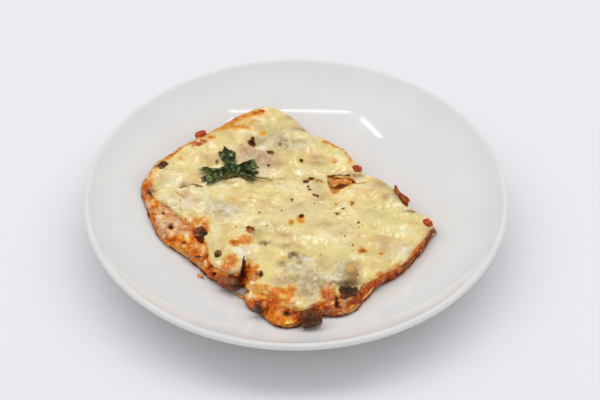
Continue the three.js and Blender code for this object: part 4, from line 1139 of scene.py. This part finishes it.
def sheet_rings(turns, edge, floor_of, thickness, edge_drop, edge_thickness):
    """A thin sheet whose edge is rounded, as rings from under its middle, round its edge, to its top."""
    low = [ring_at(turns, share * edge, floor_of) for share in SHEET_SHARES]
    high = [ring_at(turns, share * edge, floor_of, thickness) for share in SHEET_SHARES[::-1]]
    half = edge_thickness / 2
    rim = []
    for angle in np.radians(np.arange(-90, 91, 22.5)):
        outwards = half * (math.cos(angle) - 1)
        rim.append(ring_at(turns, edge + outwards, floor_of, half - edge_drop + half * math.sin(angle)))
    return np.array(low + rim + high)


def sauce_sheet():
    turns = circle(SIDE_COUNT)
    edge = foot_radius(turns) - SAUCE_INSET + waver(turns, SAUCE_WAVER)
    rings = sheet_rings(turns, edge, sauce_floor, SAUCE_THICKNESS, SAUCE_DROP, SAUCE_EDGE)
    make_shell("sauce_glossy", rings, sauce(), "tomato_sauce", ["sauce_lower"])


# Where the lower sheet's edge curls up and shows: turn, spread, millimetres up.
PASTA_CURLS = [(-99, 4.5, 3.4), (-20, 5, 1.2), (10, 10, 0.6)]
CURLED_RINGS, CURL_SHARES, CURL_REACH = slice(7, 12), np.linspace(0.4, 1, 5), 0.25  # the rim's upper half


def lower_pasta_sheet():
    turns = circle(SIDE_COUNT)
    comes_and_goes = 0.5 + 0.5 * np.sin(np.radians(turns * PASTA_STRETCHES))
    curl = sum_of_bumps(PASTA_CURLS, turns)
    edge = foot_radius(turns) - PASTA_INSET - PASTA_REACH * comes_and_goes + CURL_REACH * curl
    edge += waver(turns, PASTA_WAVER)
    rings = sheet_rings(turns, edge, lower_pasta_floor, PASTA_THICKNESS, PASTA_DROP, PASTA_THICKNESS)
    rings[CURLED_RINGS, :, 2] += curl * CURL_SHARES[:, None]
    rings += outward(rings) * layered(rings, PASTA_SKIN)[..., None]
    make_shell("pasta_sheet_low", rings, sauced_pasta("pasta_low"), "pasta", ["pasta_lower"],
               lambda points: {"pale": strongest(spot, *picture_of(points, 1.0), PALE_PASTA)})


def upper_pasta_sheet():
    turns = circle(SIDE_COUNT)
    edge = inner_radius(turns) + UPPER_REACH + waver(turns, UPPER_WAVER)
    rings = sheet_rings(turns, edge, upper_pasta_floor, PASTA_THICKNESS, 0, PASTA_THICKNESS)
    make_shell("pasta_sheet_high", rings, sauced_pasta("pasta_high"), "pasta", ["pasta_upper"],
               lambda points: {"pale": UPPER_PALE + layered(points, UPPER_PALE_WAVER)})


# ---- filling ----
FILLING_ROWS = 46
FILLING_UNDER, FILLING_OVER = (0.3, 0.7, 1), (1, 0.9, 0.7, 0.3)  # where its two faces have rings of points
SLUMP, SLUMP_WAVER, SLUMP_MOST = 0.9, [(6, 0.3, 66)], 1.2  # how the mince bulges over its foot
SLUMP_OUT, SLUMP_DOWN, SLUMP_SPREAD = 1.5, 2.4, 0.22
MINCE_STIR, MINCE_SWELLS = (3.5, 1.1, 11), [(8, 0.6, 61)]
BIG_GRAIN, BIG_HEIGHT, BIG_SPREAD, SMALL_GRAIN, SMALL_HEIGHT, GRAINS_DOWN = 4.8, 1.2, 0.5, 2.1, 0.55, 1.0
# How deep the hollows are pushed in, and how much painted shade darkens them.
HOLLOW_DEPTH, HOLLOW_SHADE = 1.6, 0.6
SIDE_TONE, SIDE_TONES, SIDE_WARMTH, SIDE_WARMTHS = 0.48, [(5, 0.12, 62)], 0.75, [(9, 0.3, 64)]
# The second and third give painted shade between the mince's grains and painted highlight on their tops.
GRAIN_TONE, GRAIN_GAP_SHADE, GAP_LEVEL, GRAIN_WARMTH = 0.05, 0.18, 0.45, 0.16


def filling_side(turns, share):
    """A ring of the filling's side. share is 0 at its foot and 1 at its top."""
    out, up = (length**FILLING_FULLNESS for length in round_about(1, 90 * share))
    inner = inner_radius(turns)
    reach = foot_radius(turns) - FILLING_INSET - inner
    foot = ring_at(turns, inner + reach, filling_floor, FILLING_FOOT)
    covered = strongest(spot, *picture_of(foot), SHEETS_SHOW)
    bulge = np.clip(SLUMP + waver(turns, SLUMP_WAVER) - covered, 0, SLUMP_MOST)
    slump = bulge * bell(share, SLUMP_SPREAD)
    top = ring_at(turns, inner, upper_pasta_floor, -GAP)
    radius = np.maximum(inner + reach * out, inner + FILLING_LEAST) + SLUMP_OUT * slump
    x, y = slice_point(turns, radius)
    return np.stack([x, y, foot[:, 2] + (top[:, 2] - foot[:, 2]) * up - SLUMP_DOWN * slump], -1)


def side_paint(points, ragged):
    """How dark and how warm the sides of the food are at each point."""
    px, py = picture_of(points, ragged)
    tone = SIDE_TONE + layered(points, SIDE_TONES)
    warm = SIDE_WARMTH + layered(points, SIDE_WARMTHS)
    for shape, marks in ((stroke, SIDE_BANDS), (spot, SIDE_SPOTS)):
        for *place, dark, warmth in marks.values():
            share = shape(px, py, *place)
            tone, warm = tone + (dark - tone) * share, warm + (warmth - warm) * share
    return tone, warm


def filling():
    turns = circle(SIDE_COUNT)
    shares = np.linspace(0, 1, FILLING_ROWS)[1:-1]
    inner = inner_radius(turns)
    low = [ring_at(turns, share * inner, filling_floor) for share in FILLING_UNDER]
    low.append(ring_at(turns, foot_radius(turns) - FILLING_INSET, filling_floor))
    side = [filling_side(turns, share) for share in shares]
    high = [ring_at(turns, share * inner, upper_pasta_floor, -GAP) for share in FILLING_OVER]
    rings = np.array(low + side + high)
    on_side = np.zeros((len(rings), 1))
    on_side[len(low):-len(high), 0] = np.sin(shares * math.pi) ** 0.3
    facing = outward(rings)
    warped = stirred(rings, *MINCE_STIR)
    big, big_number = grains(warped, BIG_GRAIN, 51)
    small, small_number = grains(warped, SMALL_GRAIN, 56)
    relief = (BIG_HEIGHT + BIG_SPREAD * big_number) * big + SMALL_HEIGHT * small
    relief += layered(rings, MINCE_SWELLS) - GRAINS_DOWN
    rings = press_in(rings + facing * (relief * on_side)[..., None], facing, PRESS_DEPTH)
    px, py = picture_of(rings)
    deep = on_side * sum(spot(px, py, *hollow, hollow[-1]) for hollow in HOLLOWS)
    rings = rings - facing * (HOLLOW_DEPTH * deep)[..., None]
    tone, warm = side_paint(rings, 1.0)
    # Painted shade between the grains and painted highlight on their tops, painted shade in the hollows, and
    # a tone that differs by grain.
    tone += GRAIN_TONE * (big_number + small_number) + GRAIN_GAP_SHADE * (GAP_LEVEL - big) + HOLLOW_SHADE * deep
    warm += GRAIN_WARMTH * big_number
    masks = clipped(tone=np.pad(tone.ravel(), 1, mode="edge"), warm=np.pad(warm.ravel(), 1, mode="edge"))
    make_shell("filling_mince", rings, mince("mince"), "meat_filling", ["meat_filling"], lambda points: masks)


# ---- cheese ----
CHEESE_COUNT, CHEESE_RINGS = 760, 112
HEIGHT_TO_PAINTED_LIGHT = 0.28  # painted shade where the cheese stands low and painted highlight where it stands high
# How far the cheese's edge sinks everywhere, and besides that by turn, spread and millimetres.
EDGE_SINK, EDGE_SINK_WAVER, EDGE_SINK_WIDTH, EDGE_SINK_PAST = 0.8, [(9, 0.5, 87)], 6.5, 1.5
EDGE_SINKS = [
    (-118, 14, 1.6), (-66, 6, 0.8), (-45, 9, 1.8), (-22, 7, 1.0),
    (175, 14, 0.8), (140, 20, 0.6), (10, 14, 0.6),
]

# Turn, spread, strength and width in millimetres of the orange bands round the cheese's edge.
BAKED_EDGES = [
    (175, 22, 0.8, 1.8), (205, 10, 0.8, 1.8), (8, 16, 0.55, 0.5), (32, 9, 0.5, 0.5), (60, 14, 0.4, 0.8),
    (-95, 8, 0.8, 1.6), (-48, 12, 0.7, 1.0), (-25, 8, 0.6, 0.8), (115, 25, 0.4, 0.8), (-130, 12, 0.4, 0.8),
]
BAKED_WAVER, BAKED_FADE = [(3, 0.7, 81)], (0.8, 0.2)
# The third number is how dark the painted shade along each crack is.
BAKED_AT_TEAR, BAKED_AT_TEAR_WIDTH, SHADE_IN_CRACKS = 0.75, 0.7, 0.7
BARE_BELOW, BARE_BELOW_WAVER = 1.15, [(2.2, 0.25, 86)]
CHEESE_RAGGED = 1.4
RIM_REACH, RIM_WAVER, RIM_SKIN = 0.95, [(6, 0.38, 82), (2.2, 0.2, 83)], finer_and_finer(2.2, 0.18, 85)
DRIP, DRIP_WAVER = 1.5, [(7, 0.9, 84)]
TEAR = [tuple(point) for point in smoothed([in_slice(*point) for point in TEAR_PATH + TEAR_PATH[:1]], 2)]


def inside(x, y, outline):
    """Which points lie inside a closed outline, whose last point is its first."""
    found = np.zeros(np.shape(x), bool)
    for (ax, ay), (bx, by) in zip(outline, outline[1:]):
        crosses = (ay > y) != (by > y)
        found ^= crosses & (x < ax + (y - ay) / ((by - ay) or 1e-9) * (bx - ax))
    return found


def torn_cells(gone):
    """Cells of a grid of rings that have a corner in the tear."""
    after = np.roll(gone, -1, 1)
    return gone[:-1] | gone[1:] | after[:-1] | after[1:]


def drawn_to_tear(x, y, gone, torn):
    """Moves the points that the torn cells leave behind onto the tear's outline."""
    at_tear = np.zeros_like(gone)
    for rows in (slice(0, -1), slice(1, None)):
        at_tear[rows] |= torn | np.roll(torn, 1, 1)
    near_x, near_y, _, _ = nearest_on_path(x, y, TEAR)
    on_edge = at_tear & ~gone
    return np.where(on_edge, near_x, x), np.where(on_edge, near_y, y)


def walled_tear(quads, torn, levels):
    """Takes the torn cells out of the cheese's two faces, and joins the faces by walls round the tear."""
    cells = np.zeros((levels - 1, CHEESE_COUNT), bool)
    cells[:len(torn)], cells[-len(torn):] = torn, torn[::-1]
    cells = cells.ravel()
    lost_top = quads[cells & (np.arange(len(cells)) >= cells.size - torn.size)]
    edges = np.stack([lost_top, np.roll(lost_top, -1, 1)], -1).reshape(-1, 2)
    _, first, times = np.unique(np.sort(edges, 1), axis=0, return_index=True, return_counts=True)
    a, b = edges[first[times == 1]].T
    below_a, below_b = (
        1 + (levels - 1 - (index - 1) // CHEESE_COUNT) * CHEESE_COUNT + (index - 1) % CHEESE_COUNT
        for index in (a, b))
    return np.concatenate([quads[~cells], np.stack([a, b, below_b, below_a], -1)])


def cheese_masks(points, up):
    """The masks of the cheese's material at each point. up is 1 on the top and 0 underneath."""
    x, y = points[:, 0], points[:, 1]
    turn, radius = slice_polar(x, y)
    to_edge = cheese_radius(turn) - radius + layered(points, BAKED_WAVER)
    px, py = picture_of(points, CHEESE_RAGGED)
    masks = {name: strongest(spot, px, py, spots) for name, spots in SPOTS.items()}

    def add(name, values):
        masks[name] = np.maximum(masks[name], values)

    for name, strokes in STROKES.items():
        add(name, strongest(stroke, px, py, strokes))
    for centre, spread, strength, width in BAKED_EDGES:
        fading = step_up(to_edge, width + BAKED_FADE[0], BAKED_FADE[1])
        add("baked", strength * bell(turn_between(turn, centre), spread) * fading)
    # Painted shade along each crack, also under the flaps' edges.
    for path, half_width, depth in CRACKS.values():
        away = distance_to_path(px, py, path) / half_width
        add("brown", SHADE_IN_CRACKS * min(depth, 1) * np.exp(-(away**2)))
    add("baked", BAKED_AT_TEAR * bell(distance_to_path(x, y, TEAR), BAKED_AT_TEAR_WIDTH))
    add("bare", BARE_BELOW * (1 - up))
    masks["bare"] += layered(points, BARE_BELOW_WAVER) * (1 - up)
    # height carries the painted shade and painted highlight of the relief
    masks["height"] = 0.5 + HEIGHT_TO_PAINTED_LIGHT * (cheese_top(x, y) - top_height(x, y)) * up
    tone, warm = side_paint(points, 1.0)
    return masks | clipped(tone=tone, warm=warm)


def cheese_rim(turns, inner, edge_sink):
    """The rounded edge of the cheese, which drips in places."""
    reach = RIM_REACH + waver(turns, RIM_WAVER)
    drip = DRIP + waver(turns, DRIP_WAVER)
    floor = cheese_floor(*slice_point(turns, inner)) - edge_sink
    rim = []
    for outwards, up in smoothed(CHEESE_RIM, 2):
        x, y = slice_point(turns, inner + outwards * reach)
        rim.append(np.stack([x, y, floor + up * (drip if up < 0 else 1)], -1))
    rim = np.array(rim)
    return rim + outward(rim) * layered(rim, RIM_SKIN)[..., None]


def cheese():
    turns = circle(CHEESE_COUNT)
    inner = inner_radius(turns)
    radius = np.linspace(0, 1, CHEESE_RINGS + 1)[1:, None] * inner
    x, y = slice_point(turns, radius)
    gone = inside(x, y, TEAR)
    torn = torn_cells(gone)
    x, y = drawn_to_tear(x, y, gone, torn)
    edge_sink = EDGE_SINK * (1 + waver(turns, EDGE_SINK_WAVER)) + sum_of_bumps(EDGE_SINKS, turns)
    sink = edge_sink * step_up(radius, inner - EDGE_SINK_WIDTH, inner + EDGE_SINK_PAST)
    bottom = np.stack([x, y, cheese_floor(x, y) - sink], -1)
    top = np.stack([x, y, cheese_top(x, y) - sink], -1)
    rim = cheese_rim(turns, inner, edge_sink)
    rings = np.concatenate([bottom, rim, top[::-1]])
    points, quads, fans = shell(rings)
    quads = walled_tear(quads, torn, len(rings))
    used = np.unique(np.concatenate([quads.ravel(), fans.ravel()]))
    renumber = np.zeros(len(points), int)
    renumber[used] = np.arange(len(used))
    ups = np.concatenate([np.zeros(len(bottom)), np.linspace(0.1, 1, len(rim)), np.ones(len(top))])
    up = np.pad(np.repeat(ups, CHEESE_COUNT), 1, mode="edge")
    masks = cheese_masks(points[used], up[used])
    faces = renumber[quads].tolist() + renumber[fans].tolist()
    make_piece("cheese_melted", points[used], faces, melted_cheese(), "melted_cheese", ["cheese_top"], masks)


# ---- thin strips ----
FOLD = dict(length=12, width=6, thickness=1, rise=1.6, ridge=0.35)
FOLD_AT, FOLD_LIFT, FOLD_TILT, FOLD_TURN = (6.5, 41.2), 1.9, -8, 8
FOLD_SHINE = (336, 188, 4, 3)  # a pale spot, by pixel x, y, half width, half height
FLAKE = dict(length=15, width=5.5, thickness=1, rise=1.4, ridge=0.2)
FLAKE_AT, FLAKE_TURN = (62.6, 3.2, 24.8), (76, 0, -60)
STRIP_SKIN, FOLD_PALE, FOLD_SHINE_STRENGTH = [(1.8, 0.2, 91)], [(3, 0.5, 48)], 0.6
STRIP_EDGE, STRIP_EDGE_POWER = 0.08, 6  # how thin its edges are, and how suddenly
STRIP_TWIST, STRIP_TWISTS, STRIP_RIDGES, STRIP_RIDGE_SLANT = 0.25, 9, 9, 3
STRIP_NARROWING, STRIP_NARROWINGS = 0.12, 7


def bent_strip(length, width, thickness, rise, ridge):
    """A thin strip, bent up along its length, with thin edges and ridges along it."""
    cube, quads = box_surface((60, 26, 4))
    points = cube * (length, width, thickness)
    along, across = cube[:, 0], cube[:, 1]
    points[:, 2] *= np.sqrt(np.clip(1 - np.abs(2 * across) ** STRIP_EDGE_POWER, STRIP_EDGE, 1))
    twist = STRIP_TWIST * np.sin(along * STRIP_TWISTS) * across
    points[:, 2] += rise * (np.cos(along * math.pi) ** 2 + twist)
    ridges = ridge * np.sin(across * STRIP_RIDGES + along * STRIP_RIDGE_SLANT)
    points[:, 2] += ridges + layered(points, STRIP_SKIN)
    points[:, 1] *= 1 + STRIP_NARROWING * np.sin(along * STRIP_NARROWINGS)
    return points, quads


def folded_pasta():
    points, quads = bent_strip(**FOLD)
    x, y = in_slice(*FOLD_AT)
    points = points @ (turned((0, 0, FOLD_TURN)) @ turned((FOLD_TILT, 0, 0))).T
    points += (x, y, float(cheese_floor(x, y)) + FOLD_LIFT)
    pale = FOLD_SHINE_STRENGTH * spot(*picture_of(points), *FOLD_SHINE) + layered(points, FOLD_PALE)
    material = pasta("browned_pasta", (0.3, 136, 62, 14), (0.48, 214, 122, 36), (0.66, 246, 180, 92))
    masks = clipped(pale=pale)
    make_piece("pasta_fold_browned", points, quads.tolist(), material, "pasta", ["pasta_fold"], masks)


def standing_flake():
    points, quads = bent_strip(**FLAKE)
    points = points @ turned(FLAKE_TURN).T + FLAKE_AT
    material = vegetable("dried_pepper", 2.0, (0.3, 128, 50, 20), (0.5, 176, 78, 30), (0.7, 206, 122, 58))
    make_piece("pepper_flake_dried", points, quads.tolist(), material, "red_pepper", ["pepper_flake"])


# ---- parsley ----
PARSLEY_X, PARSLEY_Y, PARSLEY_CORE = -38.4, 24.3, 5
# Turn, spread and length; how many round the leaf, where they start and how high.
PARSLEY_LOBES = [(106, 27, 12), (183, 12, 14), (214, 20, 15), (12, 20, 10.5), (-22, 21, 10.5)]
PARSLEY_FRILLS = [(18, 0, 1.1), (27, 40, 0.55), (61, 0, 0.5), (97, 20, 0.3)]
PARSLEY_COUNT, PARSLEY_RINGS, PARSLEY_THICKNESS, PARSLEY_CLEARANCE = 720, 44, 0.4, 1.2
PARSLEY_CRINKLES, PARSLEY_CREASES = [(2.6, 0.75, 93), (1.3, 0.45, 94)], [(4, 0.55, 95)]
PARSLEY_RIPPLE, PARSLEY_RIPPLES, PARSLEY_SPIRAL = 0.9, 9, 3
FRILLED_FROM, CRINKLED_FROM = 12, 1 / 3  # millimetres, and share of the way to the leaf's edge
LEAF_EDGE, LEAF_EDGE_POWER = 0.1, 14
PARSLEY_SCORCHED = {"right": (248, 172, 6, 4, 0.8), "left": (204, 177, 3, 3, 0.75)}
STEM_FROM, STEM_TO, STEM_CLEARANCE = (-20.6, 18.2), (-13.8, 15.2), 1.4
STEM_BACK, STEM_BOW, STEM_NOD = (-4.5, 1.4, -0.2), (0, 0.5, 0.4), (0, 0, -0.5)
STEM_RADII, STEM_SIDES = (0.42, 0.2), 10


def parsley_radius(turn):
    radius = np.full(turn.shape, float(PARSLEY_CORE))
    for centre, spread, length in PARSLEY_LOBES:
        away = np.abs(turn_between(turn, centre)) / spread
        radius = np.maximum(radius, PARSLEY_CORE + length * np.exp(-(away**4)))
    frill = sum(height * np.sin(np.radians(turn * count + start)) for count, start, height in PARSLEY_FRILLS)
    return radius + frill * np.minimum(1, radius / FRILLED_FROM)


def parsley():
    turns = circle(PARSLEY_COUNT)
    shares = np.linspace(0, 1, PARSLEY_RINGS + 1)[1:, None]
    x, y = round_about(shares * parsley_radius(turns), turns)
    x, y = PARSLEY_X + x, PARSLEY_Y + y
    ripple = np.sin(np.radians(turns * PARSLEY_RIPPLES) + PARSLEY_SPIRAL * shares)
    plan = flat(x, y)
    crinkle = layered(plan, PARSLEY_CRINKLES) + np.abs(layered(plan, PARSLEY_CREASES))
    height = top_height(x, y) + PARSLEY_CLEARANCE + PARSLEY_RIPPLE * (1 + ripple) * shares
    height += crinkle * np.minimum(1, shares / CRINKLED_FROM)
    half = PARSLEY_THICKNESS / 2 * np.sqrt(np.clip(1 - shares**LEAF_EDGE_POWER, LEAF_EDGE, 1))
    lower, upper = (np.stack([x, y, height + side * half], -1) for side in (-1, 1))
    rings = np.concatenate([lower, upper[::-1]])
    make_shell("parsley_leaf_curly", rings, leaf_green(), "parsley", ["parsley_leaf"],
               lambda points: {"scorched": strongest(spot, *picture_of(points), PARSLEY_SCORCHED)})


def tube_rings(path, radii, sides):
    """Rings of a tube along a path, with a radius at each of its points."""
    ahead = np.gradient(path, axis=0)
    right = np.cross(ahead, (0, 0, 1))
    right /= np.linalg.norm(right, axis=1, keepdims=True)
    above = np.cross(right, ahead / np.linalg.norm(ahead, axis=1, keepdims=True))
    across, upwards = round_about(radii[:, None, None], np.arange(sides)[:, None] * 360 / sides)
    return path[:, None] + right[:, None] * across + above[:, None] * upwards


def stem():
    start, end = ((x, y, float(top_height(x, y)) + STEM_CLEARANCE) for x, y in (STEM_FROM, STEM_TO))
    middle = np.add(start, end) / 2 + STEM_BOW
    path = smoothed([np.add(start, STEM_BACK), start, middle, np.add(end, STEM_NOD)], 3)
    rings = tube_rings(path, np.linspace(*STEM_RADII, len(path)), STEM_SIDES)
    material = vegetable("stem_green", 1.5, (0.3, 30, 52, 28), (0.6, 60, 84, 44), (0.8, 96, 110, 60))
    make_shell("parsley_stem_thin", rings, material, "parsley", ["parsley_stem"])


# ---- specks, herbs and crumbs ----
SPECK_LUMPS, SPECK_LUMP_HEIGHT, SPECK_SEED = 0.7, 0.3, 97  # as shares of a speck's radius
SPECK_LENGTHENING = 0.25


def scattered(name, spots, height_of, surface_of, flatness, sink, material, slot):
    """Small flat lumps at picture pixels, on the surface that carries them, joined in one mesh."""
    unit, quads = ball_surface(5)
    points, faces = [], []
    for number, (px, py, radius) in enumerate(spots):
        x, y = photo_point(px, py, height_of)
        lumpy = noise(unit * radius + 9 * number, SPECK_LUMPS * radius, SPECK_SEED)
        shape = unit * (1 + SPECK_LUMP_HEIGHT * lumpy)[:, None]
        longer = SPECK_LENGTHENING * math.sin(5 * number)
        squash = (1 + longer, 1 - longer, flatness)
        at = (x, y, surface_of(np.array([x]), np.array([y]))[0] - sink * radius)
        points.append(shape * radius * squash @ turned((0, 0, 47 * number)).T + at)
        faces.extend((quads + number * len(unit)).tolist())
    make_piece(name, np.concatenate(points), faces, material, slot)


def toppings():
    dark = vegetable("browned_specks", 1.2, (0.3, 70, 38, 14), (0.5, 118, 72, 28), (0.7, 160, 108, 50))
    green = vegetable("herb_flecks", 1.2, (0.3, 60, 62, 30), (0.6, 104, 100, 52), (0.8, 140, 130, 76))
    crumb = vegetable("crumbs", 1.5, (0.3, 196, 110, 40), (0.55, 226, 160, 84), (0.75, 240, 206, 150))
    scattered("browned_specks", SPECKS, top_height, cheese_top, 0.45, 0.12, dark, "melted_cheese")
    scattered("herb_flecks", HERBS, top_height, cheese_top, 0.25, 0.08, green, "parsley")
    scattered("plate_crumbs", CRUMBS, well_under, well_under, 0.45, -0.35, crumb, "meat_filling")


# ---- studio: places and sizes in metres ----
STRIPS = {  # light tubes: from and to, in plan
    "strip_back": ((-0.080, 0.296), (0.097, 0.290)),
    "strip_left": ((-0.093, 0.321), (-0.109, 0.405)),
    "strip_right": ((0.083, 0.318), (0.102, 0.405)),
}
STRIP_HEIGHT, STRIP_WIDTH, STRIP_STRENGTH = 0.7, 0.007, 45
OVERHEAD_AT, OVERHEAD_SIZE, OVERHEAD_STRENGTH = (0.0, 0.15, 1.1), (2.6, 0.44), 6.9
SHINE_AT, SHINE_SIZE, SHINE_STRENGTH = (-0.25, 0.32, 1.1), (0.5, 0.3), 11
TENT_STRENGTH, TENT_COLOUR = 0.68, (0.97, 0.98, 1.0, 1)
FLOOR_HALF, FLOOR_DOWN = 4.0, 0.0002


def area_light(name, at, toward, size, strength):
    """A soft light, turned to a point. strength is its brightness, whatever its size."""
    light = bpy.data.lights.new(name, "AREA")
    light.shape = "RECTANGLE"
    light.size, light.size_y = size
    light.energy = strength * size[0] * size[1]
    lamp = bpy.data.objects.new(name, light)
    lamp.location = at
    x, y, z = np.subtract(toward, at)
    lamp.rotation_euler = (math.atan2(math.hypot(x, y), -z), 0, math.atan2(-x, y))
    bpy.context.scene.collection.objects.link(lamp)
    return lamp


def strip_light(name, start, end):
    """A light tube that hangs level and shines down."""
    length_x, length_y = np.subtract(end, start)
    x, y = np.add(start, end) / 2
    size = (math.hypot(length_x, length_y), STRIP_WIDTH)
    lamp = area_light(name, (x, y, STRIP_HEIGHT), (x, y, 0), size, STRIP_STRENGTH)
    lamp.rotation_euler = (0, 0, math.atan2(length_y, length_x))


def lay_floor():
    mesh = bpy.data.meshes.new("studio_floor")
    corners = [(x * FLOOR_HALF, y * FLOOR_HALF, 0) for x, y in ((-1, -1), (1, -1), (1, 1), (-1, 1))]
    mesh.from_pydata(corners, [], [(0, 1, 2, 3)])
    mesh.materials.append(studio_floor())
    floor = bpy.data.objects.new("studio_floor", mesh)
    floor.location = (0, 0, -FLOOR_DOWN)
    bpy.context.scene.collection.objects.link(floor)


def lights():
    """A white tent, a broad light and three tubes. The shine falls on the food alone, as a gleam."""
    overhead = area_light("overhead", OVERHEAD_AT, (0, 0, 0), OVERHEAD_SIZE, OVERHEAD_STRENGTH)
    overhead.visible_glossy = False
    shine = area_light("shine", SHINE_AT, (0, 0, 0), SHINE_SIZE, SHINE_STRENGTH)
    shine.visible_diffuse = False
    shine.light_linking.receiver_collection = food
    for name, (start, end) in STRIPS.items():
        strip_light(name, start, end)
    world = bpy.data.worlds.new("tent")
    world.use_nodes = True
    background = world.node_tree.nodes["Background"]
    background.inputs["Color"].default_value = TENT_COLOUR
    background.inputs["Strength"].default_value = TENT_STRENGTH
    world.cycles_visibility.glossy = False
    bpy.context.scene.world = world
    bpy.context.scene.view_settings.view_transform = "Standard"


def camera():
    data = bpy.data.cameras.new("camera")
    data.lens, data.sensor_width = LENS, SENSOR
    data.clip_start, data.clip_end = 0.05, 20
    eye = bpy.data.objects.new("camera", data)
    eye.location = CAMERA_AT * MM
    eye.rotation_euler = (math.pi / 2 - CAMERA_DOWN, 0, 0)
    bpy.context.scene.collection.objects.link(eye)
    bpy.context.scene.camera = eye


plate()
sauce_sheet()
lower_pasta_sheet()
filling()
upper_pasta_sheet()
cheese()
lumps()
folded_pasta()
standing_flake()
parsley()
stem()
toppings()
lay_floor()
lights()
camera()
